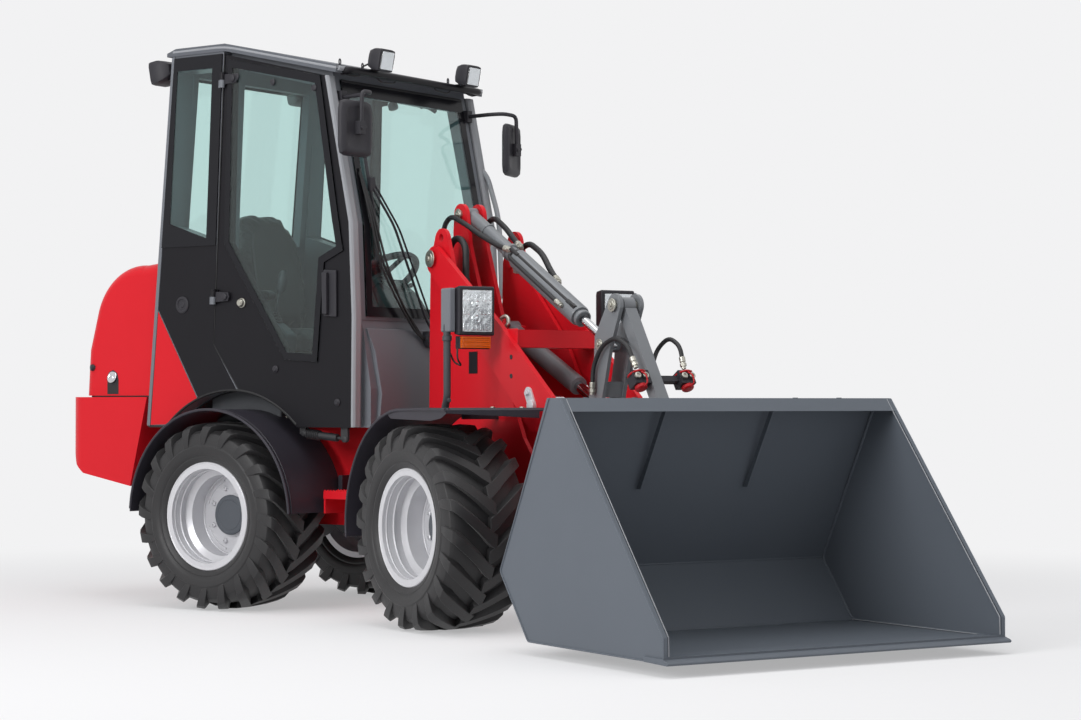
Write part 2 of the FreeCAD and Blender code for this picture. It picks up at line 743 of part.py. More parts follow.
def cab_floor():
    """The floor plate with the two wheel boxes that close the arches."""
    piece = Piece("cab_floor", Pose("rear"))
    low, top = S.cab_bottom, S.cab_bottom + 14
    space = S.body_half - S.door_thickness - 5 - S.cab_wall
    front = FRONT_LINE[0][0] - S.cab_wall
    rear = REAR_LOW[0] + S.cab_wall + 2
    reach = arch_side(S.arch_radius, low) + 12
    narrow = 285.0
    piece.pad("XY", [[(rear, -space), (-AXLE - reach, -space), (-AXLE - reach, -narrow),
                      (-AXLE + reach, -narrow), (-AXLE + reach, -space), (front, -space),
                      (front, space), (-AXLE + reach, space), (-AXLE + reach, narrow),
                      (-AXLE - reach, narrow), (-AXLE - reach, space), (rear, space)]], low, top)
    outer = S.arch_radius + S.sheet
    a, b = arch_side(S.arch_radius, low), arch_side(outer, low)
    sheet = [(-AXLE + a, low), Arc(S.arch_radius), (-AXLE - a, low), (-AXLE - b, low),
             Arc(outer, clockwise=True), (-AXLE + b, low)]
    piece.both_sides([sheet], narrow, space)
    box = [(-AXLE - b, low), Arc(outer, clockwise=True), (-AXLE + b, low)]
    piece.both_sides([box], narrow - S.sheet, narrow)
    return piece


def cab_roof():
    """The roof panel, creased above the door seam."""
    piece = Piece("cab_roof", Pose("rear"))
    up = S.roof_thickness
    piece.pad("XZ", [[(-1078.0, 2205.0), ROOF_BREAK, (-195.0, 2077.5), (-190.0, 2077.5 + up),
                      (ROOF_BREAK[0], ROOF_BREAK[1] + up), (-1030.0, 2205 + up),
                      (-1078.0, 2189 + up)]], -471.0, 471.0)
    return piece


def cab_glass():
    """Windscreen, rear window and the two fixed side windows, bonded on the frame."""
    piece = Piece("cab_glass", Pose("rear"))
    thick = S.glass
    pane = [FRONT_LINE[1], FRONT_LINE[2], (FRONT_LINE[3][0], FRONT_LINE[3][1]),
            (FRONT_LINE[3][0] + thick, FRONT_LINE[3][1]), (FRONT_LINE[2][0] + thick, FRONT_LINE[2][1]),
            (FRONT_LINE[1][0] + thick, FRONT_LINE[1][1])]
    piece.pad("XZ", [pane], -388.0, 388.0)
    lean = (REAR_HIGH[0] - REAR_LOW[0]) / (REAR_HIGH[1] - REAR_LOW[1])
    low = REAR_LOW[0] + lean * (1450.0 - REAR_LOW[1])
    high = REAR_LOW[0] + lean * (2150.0 - REAR_LOW[1])
    piece.pad("XZ", [[(low, 1450.0), (high, 2150.0), (high - thick, 2150.0),
                      (low - thick, 1450.0)]], -378.0, 378.0)
    window = [(-1082.0, 1502.0), (-1038.0, 2170.0), (-814.0, 2170.0), (-848.0, 1440.0)]
    piece.both_sides([window], S.body_half, S.body_half + thick)
    return piece


def door_outline(gap):
    """The door's outline, held back from its opening by a gap."""
    reach = arch_side(S.arch_radius, S.cab_bottom)
    rise = chord_end(S.arch_radius, 50.0)
    return [(-AXLE + reach, S.cab_bottom), (FRONT_LINE[0][0] - 4, S.cab_bottom),
            (FRONT_LINE[1][0] - 6, FRONT_LINE[1][1]), (FRONT_LINE[2][0] - 6, FRONT_LINE[2][1]),
            (FRONT_LINE[3][0] + 2, FRONT_LINE[3][1] + 8),
            (ROOF_BREAK[0] - 3 + gap, ROOF_BREAK[1] - gap - 9), (-828.0 + gap, 1042.0),
            (-AXLE + 50.0, S.tyre_radius + rise), Arc(S.arch_radius, clockwise=True)]


def door(side, outward):
    """A door: a frame as thick as the wall, with its window cut."""
    piece = Piece("door_" + side, Pose("rear"))
    outer = S.body_half
    inner = outer - S.door_thickness
    low, high = (inner, outer) if outward > 0 else (-outer, -inner)
    window = [(-442.0, 1002.0), (-306.0, 992.0), (-273.0, 1365.0), (-184.0, 1408.0),
              (-206.0, 1520.0), (-292.0, 2050.0), (-728.0, 2145.0), (-746.0, 1444.0)]
    piece.pad("XZ", [door_outline(S.moving_gap), window], low, high)
    hole = Circle(0.0, S.hinge_y * outward, S.hinge_pin + S.bearing_play)
    for level in HINGE_LEVELS:
        hinge_leaf(piece, outward, 1.0, level + 0.5, level + 30, [hole])
    return piece


def door_glass(side, outward):
    """The pane bonded on the outside of a door."""
    piece = Piece("door_glass_" + side, Pose("rear"))
    inner = S.body_half
    outer = inner + S.glass
    low, high = (inner, outer) if outward > 0 else (-outer, -inner)
    pane = [(-452.0, 978.0), (-285.0, 966.0), (-250.0, 1351.0), (-156.0, 1392.0),
            (-180.0, 1520.0), (-272.0, 2073.0), (-748.0, 2172.0), (-767.0, 1436.0)]
    piece.pad("XZ", [pane], low, high)
    return piece


def seat():
    """Seat base, cushion and back."""
    base = Piece("seat_base", Pose("rear"))
    floor = S.cab_bottom + 14
    base.pad("XZ", [[(-1040.0, floor), (-640.0, floor), (-610.0, 1010.0), (-1060.0, 1010.0)]],
             -230.0, 230.0)
    cushion = Piece("seat_cushion", Pose("rear"))
    cushion.pad("XZ", [[(-1010.0, 1010.3), (-580.0, 1010.3), (-565.0, 1108.0),
                        (-1010.0, 1090.0)]], -240.0, 240.0)
    back = Piece("seat_back", Pose("rear"))
    back.pad("XZ", [[(-1008.0, 1090.6), (-895.0, 1094.9), (-960.0, 1620.0), (-1040.0, 1620.0)]],
             -225.0, 225.0)
    return [base, cushion, back]


def steering_column():
    """The column and its pod, leaning towards the seat."""
    piece = Piece("steering_column", Pose("rear"))
    floor = S.cab_bottom + 14
    piece.pad("XZ", [[(-165.0, floor), (-165.0, 1110.0), (-335.7, 1309.4), (-393.7, 1269.4),
                      (-262.0, 1080.0), (-262.0, floor)]], -60.0, 60.0)
    return piece


def steering_wheel():
    """The steering wheel: rim, three spokes and hub."""
    piece = Piece("steering_wheel", Pose("rear", S.wheel_x, 0.0, S.wheel_z, 0.0, -S.wheel_lean))
    piece.turn("YZ", [Circle(175.0, 12.0, 14.0)], "V_Axis")
    piece.pad("XY", [Circle(0.0, 0.0, 38.0)], 0.0, 24.0)
    piece.pad("XY", [rectangle(-12.0, -168.0, 12.0, 168.0)], 6.0, 16.0)
    piece.pad("XY", [rectangle(0.0, -12.0, 168.0, 12.0)], 6.0, 16.0)
    return piece


def rear_fenders():
    """Curved sheets over the rear wheels, on brackets from the side plates."""
    piece = Piece("rear_fenders", Pose("rear", -AXLE + 20, 0.0, S.tyre_radius))
    inner, outer = S.rear_fender_radius, S.rear_fender_radius + S.sheet
    front_in, front_out = chord_end(inner, 20.0), chord_end(outer, 20.0)
    rear_in, rear_out = chord_end(inner, 10.0), chord_end(outer, 10.0)
    sheet = [(front_in, 20.0), Arc(inner), (-rear_in, 10.0), (-rear_out, 10.0),
             Arc(outer, clockwise=True), (front_out, 20.0)]
    piece.both_sides([sheet], S.fender_inner, S.fender_outer)
    bracket = rectangle(outer - 12, 60.0, outer + 8, 160.0)
    piece.both_sides([bracket], S.chassis_half, S.fender_inner + 20)
    return piece


def entry_steps():
    """One bracketed step on each side, ahead of the rear wheel."""
    piece = Piece("entry_steps", Pose("rear"))
    piece.both_sides([rectangle(-275.0, 440.0, -145.0, 455.0)], S.chassis_half, 440.0)
    piece.both_sides([rectangle(-275.0, 455.0, -145.0, 468.0)], 428.0, 440.0)
    piece.both_sides([rectangle(-275.0, 385.0, -267.0, 440.0)], S.chassis_half, 440.0)
    piece.both_sides([rectangle(-153.0, 385.0, -145.0, 440.0)], S.chassis_half, 440.0)
    return piece


def mirrors():
    """A mirror on a bent arm at each front corner of the cab."""
    piece = Piece("mirrors", Pose("rear"))
    for sign in (1.0, -1.0):
        piece.pad("YZ", [Circle(sign * 402.0, 1990.0, 9.0)], -228.0, -88.0)
        piece.pad("XZ", [rectangle(-98.0, 1981.0, -80.0, 1999.0)],
                  *sorted((sign * 393.0, sign * 492.0)))
        piece.pad("XY", [rectangle(-98.0, sign * 483.0 - 9, -80.0, sign * 483.0 + 9)],
                  1868.0, 1990.0)
        piece.pad("YZ", [rectangle(*flat_box(sign, 385.0, 1745.0, 580.0, 1965.0))], -80.0, -50.0)
    return piece


def flat_box(sign, near, low, far, high):
    """The rectangle between two widths on one side."""
    left, right = sorted((sign * near, sign * far))
    return left, low, right, high


def work_lights():
    """Four work lights at the corners of the roof."""
    piece = Piece("work_lights", Pose("rear"))
    piece.pad("XZ", [Circle(-168.0, 2090.0, 15.0)], -425.0, 425.0)
    for sign in (1.0, -1.0):
        piece.pad("XZ", [[(-193.9, 2084.0), (-168.0, 2084.0), (-168.0, 2096.0), (-191.9, 2096.0)]],
                  *sorted((sign * 395.0, sign * 412.0)))
        across = sorted((sign * 242.0, sign * 318.0))
        piece.pad("XZ", [rectangle(-175.0, 2098.0, -105.0, 2172.0)], *across)
        across = sorted((sign * 386.0, sign * 456.0))
        piece.pad("XZ", [rectangle(-1118.0, 2092.0, -1060.6, 2170.0)], *across)
    return piece


# ---------------------------------------------------------------- front frame

def front_frame():
    """Tower and lower frame: two outer and two inner plates on the pivot barrel."""
    piece = Piece("front_frame", Pose("front"))
    low = S.frame_bottom
    outer, inner = S.tower_outer, S.tower_inner
    px, pz = S.boom_pivot_x, S.boom_pivot_z
    side = [(130.0, 380.0), (560.0, 380.0), (600.0, low), (880.0, low), (908.0, 590.0),
            (820.0, 684.0), (745.0, 821.0), (600.0, 1040.0), (330.0, 1290.0),
            (px + 70, pz + 70), Arc(50.0), (px - 29, pz + 75), (px - 60, pz), (140.0, 1200.0)]
    pivot_hole = Circle(px, pz, S.boom_pin_radius + S.bearing_play)
    eye = Circle(px + 20, pz + 80, 16.0)
    piece.both_sides([side, pivot_hole, eye], outer - S.plate, outer)
    tx, tz = S.tilt_base_x, S.tilt_base_z
    centre = [(100.0, 555.0), (350.0, 555.0), (365.0, 1080.0), (tx + 70, tz - 120),
              (tx + 48, tz), Arc(50.0), (tx - 44, tz + 18), (tx - 52, tz - 60)]
    base_hole = Circle(tx, tz, 18.0 + S.bearing_play)
    piece.both_sides([centre, base_hole], inner - S.plate, inner)
    piece.both_sides([Circle(S.lift_base_x, S.lift_base_z, 20.0)], inner, outer - S.plate)
    gap = outer - S.plate
    piece.pad("YZ", [rectangle(-gap, 380.0, gap, 960.0)], 130.0, 130.0 + S.plate)
    piece.pad("YZ", [rectangle(-gap, low, gap, 600.0)], 860.0, 860.0 + S.plate)
    piece.pad("XY", [rectangle(146.0, -gap, 350.0, gap)], 555.0, 571.0)
    for sign in (1.0, -1.0):
        near, far = (outer - S.plate) * sign, S.saddle_outer * sign
        piece.pad("XY", [[(AXLE - S.saddle_half, near), (AXLE + S.saddle_half, near),
                          (AXLE + S.saddle_half, far), (AXLE - S.saddle_half, far)]],
                  low, low + S.plate)
    bottom = S.lug_low_bottom + S.lug_thickness + S.moving_gap
    top = S.lug_high_bottom - S.moving_gap
    piece.pad("XY", [Circle(0.0, 0.0, S.pivot_barrel_radius)], bottom, top)
    piece.pad("XY", [rectangle(0.0, -50.0, 146.0, 50.0)], bottom, top)
    piece.pad("XY", [Circle(0.0, 0.0, S.pivot_pin_radius)], S.belly_bottom + 5,
              S.lug_high_bottom + S.lug_thickness + 10)
    for level in (S.steer_height - 40, S.steer_height + 20):
        piece.pad("XY", [[(40.0, -50.0), (S.steer_rod_x - 28, S.steer_rod_y), Arc(30.0),
                          (S.steer_rod_x + 28, S.steer_rod_y), (145.0, -50.0)]],
                  level, level + 20)
    return piece


def front_fenders():
    """Rear-quarter arcs with a flat shelf forward, on the tower's side plates."""
    piece = Piece("front_fenders", Pose("front", AXLE - 15, 0.0, S.tyre_radius))
    inner, outer = S.front_fender_radius, S.front_fender_radius + S.sheet
    top, top_out = chord_end(inner, 10.0), chord_end(outer, 10.0)
    low, low_out = chord_end(inner, 50.0), chord_end(outer, 50.0)
    sheet = [(-10.0, top), Arc(inner), (-low, -50.0), (-low_out, -50.0),
             Arc(outer, clockwise=True), (-10.0, top_out), (310.0, top_out + 8),
             (318.0, top + 5), (318.0, top)]
    piece.both_sides([sheet], S.fender_inner, S.fender_outer)
    shelf = [(-10.0, top), (318.0, top), (318.0, top + 5), (310.0, top_out + 8), (-10.0, top_out)]
    piece.both_sides([shelf], 215.0, S.fender_inner)
    arm = rectangle(-90.0, top - 30, -70.0, top - 6)
    piece.both_sides([arm], S.tower_outer, S.fender_inner + 25)
    return piece


def headlights():
    """A headlight with its indicator on a bent tube at each side."""
    piece = Piece("headlights", Pose("front"))
    top = S.tyre_radius + chord_end(S.front_fender_radius + S.sheet, 37.0) + 0.3
    for sign in (1.0, -1.0):
        piece.pad("XZ", [rectangle(660.0, 1095.0, 700.0, 1115.0)],
                  *sorted((sign * 370.0, sign * 392.0)))
        piece.pad("XY", [Circle(668.0, sign * 400.0, 15.0)], top, 1130.0)
        across = sorted((sign * 233.0, sign * 383.0))
        piece.pad("XZ", [rectangle(665.0, 1055.0, 728.0, 1232.0)], *across)
        across = sorted((sign * 240.0, sign * 372.0))
        piece.pad("XZ", [rectangle(675.0, 1003.0, 722.0, 1058.0)], *across)
    return piece


# ---------------------------------------------------------------- boom and linkage

def boom():
    """Two cranked arms joined by cross tubes, with lugs for the lever."""
    piece = Piece("boom", Pose("front"))
    px, pz = S.boom_pivot_x, S.boom_pivot_z
    hx, hz = S.hitch_low_x, S.hitch_low_z
    inner = S.tower_outer + S.moving_gap
    outer = inner + S.boom_plate
    arm = [(px + 36, pz + 40), (688.0, 1103.0), (1046.0, 834.0), (hx + 36, hz + 27),
           Arc(46.0, clockwise=True), (hx - 34, hz - 29), (965.0, 709.0), (905.0, 711.0),
           (808.0, 800.0), (px - 34, pz - 42), Arc(54.5, clockwise=True)]
    piece.both_sides([arm], inner, outer)
    pin = S.boom_pin_radius
    piece.both_sides([Circle(px, pz, pin)], S.tower_outer - S.plate - 8, outer + 12)
    piece.both_sides([Circle(S.lift_pin_x, S.lift_pin_z, 20.0)],
                     S.lift_across + 41, outer + 14)
    piece.pad("XZ", [rectangle(705.0, 1012.0, 785.0, 1077.0)], -inner, inner)
    piece.pad("XZ", [rectangle(1000.0, 590.0, 1075.0, 665.0)], -inner, inner)
    lx, lz = S.lever_pivot_x, S.lever_pivot_z
    lug = [(lx - 45, lz), (1005.0, 640.0), (1070.0, 600.0), (lx + 40, lz - 20),
           Arc(45.0)]
    lug_in = S.lever_half + S.moving_gap
    pin_hole = Circle(lx, lz, 22.0 + S.bearing_play)
    piece.both_sides([lug, pin_hole], lug_in, lug_in + S.plate)
    low_hole = Circle(hx, hz, 22.0 + S.bearing_play)
    piece.cut_both_sides([low_hole], inner - 2, outer + 2)
    return piece


def pin(name, x, z, half_length, radius):
    """A plain cross pin."""
    piece = Piece(name, Pose("front"))
    piece.pad("XZ", [Circle(x, z, radius)], -as_size(half_length), half_length)
    return piece


def pins():
    """The pins that carry hitch, lever and link, each turning in the bores of its carrier."""
    arm_outer = S.tower_outer + S.moving_gap + S.boom_plate
    lug_outer = S.lever_half + S.moving_gap + S.plate
    return [pin("hitch_pin", S.hitch_low_x, S.hitch_low_z, arm_outer + 10, 22.0),
            pin("lever_pin", S.lever_pivot_x, S.lever_pivot_z, lug_outer + 8, 22.0),
            pin("link_pin", S.lever_top_x, S.lever_top_z, S.lever_half + 8, 18.0),
            pin("tilt_base_pin", S.tilt_base_x, S.tilt_base_z, S.tower_inner + 8, 18.0)]


def tilt_lever():
    """Two curved plates joined by a top plate."""
    piece = Piece("tilt_lever", Pose("front"))
    lx, lz = S.lever_pivot_x, S.lever_pivot_z
    mx, mz = S.lever_mid_x, S.lever_mid_z
    tx, tz = S.lever_top_x, S.lever_top_z
    plate = [(lx + 40, lz), (mx + 66, mz - 16), (tx + 38, tz - 12), Arc(40.0), (tx - 36, tz + 18),
             (mx - 30, mz + 30), (mx - 34, mz - 40), (lx - 40, lz), Arc(42.0)]
    play = S.bearing_play
    piece.both_sides([plate, Circle(lx, lz, 22.0 + play), Circle(tx, tz, 18.0 + play)],
                     S.lever_half - S.lever_plate, S.lever_half)
    web = [(mx - 8, mz - 185), (mx + 14, mz - 185), (mx + 26, mz - 130), (mx + 4, mz - 130)]
    inner = S.lever_half - S.lever_plate
    piece.pad("XZ", [web], -as_size(inner), inner)
    return piece


def tilt_link():
    """The box tube from the lever's top pin down to the hitch."""
    angle = slope(S.hitch_high_z - S.lever_top_z, S.hitch_high_x - S.lever_top_x)
    reach = length(S.hitch_high_x - S.lever_top_x, S.hitch_high_z - S.lever_top_z)
    piece = Piece("tilt_link", Pose("front", S.lever_top_x, 0.0, S.lever_top_z, 0.0, -angle))
    half = S.link_half
    hole = Circle(0.0, 0.0, 18.0 + S.bearing_play)
    piece.pad("XZ", [Circle(0.0, 0.0, 29.0), hole], -half, half)
    piece.pad("XZ", [rectangle(25.0, -22.0, reach - 62, 22.0)], -half, half)
    return piece


def quick_hitch():
    """The hitch frame: two plates on the low pin, a cross tube and the high pin ears."""
    piece = Piece("quick_hitch", Pose("front"))
    hx, hz = S.hitch_low_x, S.hitch_low_z
    gx, gz = S.hitch_high_x, S.hitch_high_z
    arm_outer = S.tower_outer + S.moving_gap + S.boom_plate
    low_z, high_z = hz - 20, gz + 40
    plate = [(hx - 5, hz - 45), (back_at(low_z), low_z), (back_at(high_z), high_z),
             (gx + 20, gz + 75), (gx - 30, gz + 40), (gx - 45, gz - 30), (hx - 45, hz + 15)]
    hole = Circle(hx, hz, 22.0 + S.bearing_play)
    low = arm_outer + S.moving_gap
    piece.both_sides([plate, hole], low, low + 18)
    return piece


BACK_LOW, BACK_HIGH = (1491.0, 262.0), (1776.0, 827.0)


def back_at(level):
    """How far forward the plane of the bucket's back lies at a level."""
    run = (BACK_HIGH[0] - BACK_LOW[0]) / (BACK_HIGH[1] - BACK_LOW[1])
    return BACK_LOW[0] + (level - BACK_LOW[1]) * run


def bucket():
    """The bucket: a shell with side plates, top lip and cutting edge."""
    piece = Piece("bucket", Pose("front"))
    half = S.bucket_width / 2
    thick = S.bucket_plate
    outline = [BACK_HIGH, BACK_LOW, (1664.0, 44.0), (2349.0, 42.0), (2421.0, 46.0),
               (2421.0, 119.0), (1858.0, 827.0)]
    piece.pad("XZ", [outline], -half, half)
    inner = [(1925.0, 827 - S.lip_height), (1795.0, 827 - S.lip_height), (1775.0, 800.0),
             (1491 + thick * 1.2, 262.0), (1664 + thick * 0.6, 44 + thick),
             (2330.0, 44 + thick), (2421.0, 60.0), (2445.0, 75.0), (2490.0, 110.0)]
    space = half - S.bucket_side
    piece.cut("XZ", [inner], -space, space)
    gusset = [(1790.0, 790.0), (1640.0, 525.0), (1662.0, 525.0), (1812.0, 790.0)]
    for across in (-235.0, 205.0):
        piece.pad("XZ", [gusset], across, across + thick)
    return piece


# ---------------------------------------------------------------- cylinders

def cylinder(barrel_name, rod_name, base, end, level, sizes):
    """A hydraulic cylinder between two pins: barrel with its eye, and rod with its eye."""
    barrel_radius, rod_radius, barrel_length, pin_radius, eye_radius, half, half_turn = sizes
    half_name, (bx, bz), (ex, ez) = half_turn, base, end
    angle = slope(ez - bz, ex - bx)
    reach = length(ex - bx, ez - bz)
    made = []
    for name in (barrel_name, rod_name):
        made.append(Piece(name, Pose(half_name, bx, 0.0, bz, 0.0, -angle)))
    barrel, rod = made
    for offset in level:
        low, high = offset - half, offset + half
        hole = Circle(0.0, 0.0, pin_radius + S.bearing_play)
        barrel.pad("XZ", [Circle(0.0, 0.0, eye_radius), hole], low, high)
        barrel.pad("YZ", [Circle(offset, 0.0, barrel_radius)], pin_radius + 5, barrel_length)
        barrel.cut("YZ", [Circle(offset, 0.0, rod_radius + 0.3)], pin_radius + 40,
                   barrel_length + 1)
        rod.pad("YZ", [Circle(offset, 0.0, rod_radius)], barrel_length - 60, reach - pin_radius)
        rod.pad("XZ", [Circle(reach, 0.0, eye_radius)], low, high)
    return made


def cylinders():
    """Lift cylinders side by side, and the tilt cylinder between the tower's plates."""
    lift = cylinder("lift_barrels", "lift_rods", (S.lift_base_x, S.lift_base_z),
                    (S.lift_pin_x, S.lift_pin_z), (S.lift_across, -S.lift_across),
                    (35.0, 20.0, 520.0, 20.0, 36.0, 24.0, "front"))
    tilt = cylinder("tilt_barrel", "tilt_rod", (S.tilt_base_x, S.tilt_base_z),
                    (S.lever_mid_x, S.lever_mid_z), (0.0,),
                    (S.tilt_barrel_radius, 16.0, 905.0, 18.0, 27.0, 23.0, "front"))
    return lift + tilt


def tower_hose():
    """The thick hose that rises inside the tower and arches down to a fitting on its plate."""
    piece = Piece("tower_hose", Pose("front"))
    radius, across, bend = S.tower_hose_radius, S.tower_hose_across, S.tower_hose_bend
    back = S.tower_hose_rear
    middle, ahead = back + bend, back + bend + bend
    shelf, spring, end = as_size(571.0), S.tower_hose_top - bend, S.tower_hose_end
    path = [(back, shelf + 25), (back, spring), Arc(bend, clockwise=True),
            (middle, S.tower_hose_top), Arc(bend, clockwise=True), (ahead, spring), (ahead, end)]
    piece.pipe(path, across, "XY", shelf + 25, Circle(back, across, radius))
    piece.pad("XY", [Circle(back, across, radius + 3)], shelf, shelf + 40)
    piece.pad("XY", [Circle(ahead, across, radius + 3)], end - 30, end + 12)
    piece.pad("XZ", [rectangle(ahead - 20, end - 50, ahead + 5, end - 30)], across - 16,
              -as_size(S.tower_inner))
    return piece


def tilt_hose():
    """The hose along the tilt barrel, from a clamp on its middle to the rod end's port."""
    angle = slope(S.lever_mid_z - S.tilt_base_z, S.lever_mid_x - S.tilt_base_x)
    piece = Piece("tilt_hose", Pose("front", S.tilt_base_x, 0.0, S.tilt_base_z, 0.0, -angle))
    radius, across = S.tilt_hose_radius, S.tilt_hose_across
    first, last = S.tilt_hose_first, S.tilt_hose_last
    out = S.tilt_barrel_radius + radius + 0.2
    level = root(out * out - across * across)
    ring = Circle(across, level, radius)
    piece.pad("YZ", [ring], first, last)
    piece.pad("YZ", [Circle(0.0, 0.0, S.tilt_barrel_radius + 2)], first - 28, first)
    piece.pad("YZ", [Circle(across, level, radius + 2)], first - 28, first + 30)
    piece.pad("YZ", [Circle(across, level, radius + 2)], last - 35, last + 6)
    piece.pad("YZ", [rectangle(across - 9, level - 16, across + 12, level + 9)], last, last + 26)
    piece.cut("YZ", [Circle(0.0, 0.0, S.tilt_barrel_radius + 0.05)], first - 29, last + 27)
    return piece


def couplers():
    """Two coupler blocks on the link: one on its side and one on a bar."""
    angle = slope(S.hitch_high_z - S.lever_top_z, S.hitch_high_x - S.lever_top_x)
    piece = Piece("couplers", Pose("front", S.lever_top_x, 0.0, S.lever_top_z, 0.0, -angle))
    side = S.link_half
    piece.pad("XZ", [rectangle(284.0, -24.0, 336.0, 24.0)], -as_size(side) - 66, -as_size(side))
    piece.pad("XZ", [rectangle(299.0, -11.0, 321.0, 11.0)], side, side + 80)
    piece.pad("XZ", [rectangle(284.0, -24.0, 336.0, 24.0)], side + 78, side + 138)
    return piece


def steering_cylinder():
    """The steering cylinder, lying flat between the two half frames."""
    turn = S.steer
    ex = S.steer_rod_x * cosine(turn) - S.steer_rod_y * sine(turn)
    ey = S.steer_rod_x * sine(turn) + S.steer_rod_y * cosine(turn)
    angle = slope(ey - S.steer_base_y, ex - S.steer_base_x)
    reach = length(ex - S.steer_base_x, ey - S.steer_base_y)
    pose = Pose("rear", S.steer_base_x, S.steer_base_y, S.steer_height, angle)
    barrel = Piece("steering_barrel", pose)
    barrel.pad("XY", [Circle(0.0, 0.0, 28.0), Circle(0.0, 0.0, 16.0 + S.bearing_play)], -20.0, 20.0)
    barrel.pad("XY", [rectangle(20.0, -12.0, 40.0, 12.0)], -14.0, 14.0)
    barrel.pad("YZ", [Circle(0.0, 0.0, 28.0)], 30.0, 300.0)
    barrel.cut("YZ", [Circle(0.0, 0.0, 15.3)], 60.0, 301.0)
    rod = Piece("steering_rod", pose)
    rod.pad("YZ", [Circle(0.0, 0.0, 15.0)], 220.0, reach - 20)
    rod.pad("XY", [Circle(reach, 0.0, 26.0)], -10.0, 10.0)
    return [barrel, rod]


def export(pieces):
    """Check every object and sub-part, then write one STEP file for each."""
    doc.recompute()
    failed = [item.Name for item in doc.Objects
              if any(word in item.State for word in ("Invalid", "Error"))]
    if failed:
        raise ValueError("objects failed: %s" % ", ".join(failed))
    for piece in pieces:
        shape = piece.body.Shape
        if shape.isNull() or not shape.isValid() or not shape.Solids:
            raise ValueError("%s has no valid solid" % piece.name)
    os.makedirs("parts", exist_ok=True)
    for piece in pieces:
        piece.body.Shape.exportStep("parts/%s.step" % piece.name)
        print(piece.name, len(piece.body.Shape.Solids))


def main():
    """Build every sub-part and write it out."""
    pieces = wheels()
    pieces += [rear_chassis(), engine(), counterweight(), tow_hitch(), engine_hood()]
    pieces += [cab_frame(), cab_floor(), cab_roof(), cab_glass()]
    for side, outward in (("left", 1.0), ("right", -1.0)):
        pieces += [door(side, outward), door_glass(side, outward)]
    pieces += seat() + [steering_column(), steering_wheel(), rear_fenders(), entry_steps(),
                        mirrors(), work_lights()]
    pieces += [front_frame(), front_fenders(), headlights(), boom()] + pins()
    pieces += [tilt_lever(), tilt_link(), quick_hitch(), bucket()]
    pieces += cylinders() + [tower_hose(), tilt_hose(), couplers()] + steering_cylinder()
    export(pieces)


main()
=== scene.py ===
"""Finishes, tyres, trim and fittings of a compact wheel loader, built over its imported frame."""
import json
import logging
import math
from collections.abc import Callable, Sequence
from dataclasses import dataclass, field
from enum import Enum

import bmesh
import bpy
from mathutils import Matrix, Vector

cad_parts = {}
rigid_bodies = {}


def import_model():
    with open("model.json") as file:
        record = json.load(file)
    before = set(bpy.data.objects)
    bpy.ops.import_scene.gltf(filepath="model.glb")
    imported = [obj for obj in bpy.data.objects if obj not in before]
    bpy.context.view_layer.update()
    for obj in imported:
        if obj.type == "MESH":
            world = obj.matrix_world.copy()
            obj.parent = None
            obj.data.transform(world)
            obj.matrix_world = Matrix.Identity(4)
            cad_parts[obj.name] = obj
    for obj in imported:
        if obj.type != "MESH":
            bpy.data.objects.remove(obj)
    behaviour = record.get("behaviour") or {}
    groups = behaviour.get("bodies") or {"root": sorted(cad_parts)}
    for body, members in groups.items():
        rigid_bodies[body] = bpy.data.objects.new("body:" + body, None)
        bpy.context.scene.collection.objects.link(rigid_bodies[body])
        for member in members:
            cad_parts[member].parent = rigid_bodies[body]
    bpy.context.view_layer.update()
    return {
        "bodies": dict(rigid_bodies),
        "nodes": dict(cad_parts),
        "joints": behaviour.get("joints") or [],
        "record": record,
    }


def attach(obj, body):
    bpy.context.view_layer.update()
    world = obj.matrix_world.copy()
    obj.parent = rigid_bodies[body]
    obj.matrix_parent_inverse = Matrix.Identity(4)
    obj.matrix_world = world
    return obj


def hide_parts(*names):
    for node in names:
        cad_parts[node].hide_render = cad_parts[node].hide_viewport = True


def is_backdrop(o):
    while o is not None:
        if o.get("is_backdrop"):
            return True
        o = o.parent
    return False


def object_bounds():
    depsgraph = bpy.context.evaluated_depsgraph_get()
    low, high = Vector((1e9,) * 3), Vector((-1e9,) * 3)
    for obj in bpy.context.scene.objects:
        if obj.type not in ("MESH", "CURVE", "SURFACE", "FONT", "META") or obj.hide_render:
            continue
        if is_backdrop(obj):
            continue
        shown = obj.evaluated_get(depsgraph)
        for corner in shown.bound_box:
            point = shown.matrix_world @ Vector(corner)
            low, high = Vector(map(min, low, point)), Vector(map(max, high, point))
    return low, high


LOG = logging.getLogger("loader")
Point = tuple[float, float, float]
Flat = tuple[float, float]

STEERED = -22.7  # how far the front half is turned at rest, in degrees
PIVOT = (-0.4216, 0.4648, 0)  # the foot of the steering pivot, in metres
MILLIMETRE = 0.001
AXLE = 735  # from the pivot to either axle
HUB = 368  # the height of the wheels' centres
SEAM = 462  # the cab's door seals and roof edges, from its middle
SIDES = (("right", -1), ("left", 1))
SIGNS = (-1, 1)


class Half(Enum):
    """The two half frames, each laid out straight ahead from the steering pivot on the ground."""

    REAR = "rear"
    FRONT = "front"

    def place(self) -> Matrix:
        """Returns the transform from this half's millimetres to the shared frame's metres."""
        turn = Matrix.Rotation(math.radians(STEERED if self is Half.FRONT else 0), 4, "Z")
        return Matrix.Translation(PIVOT) @ turn @ Matrix.Scale(MILLIMETRE, 4)


class Plane(Enum):
    """The plane an outline is drawn in, given as the order of its two axes and its depth axis."""

    SIDE = (0, 2, 1)
    PLAN = (0, 1, 2)
    FACE = (1, 2, 0)


# ---------------------------------------------------------------- finishes


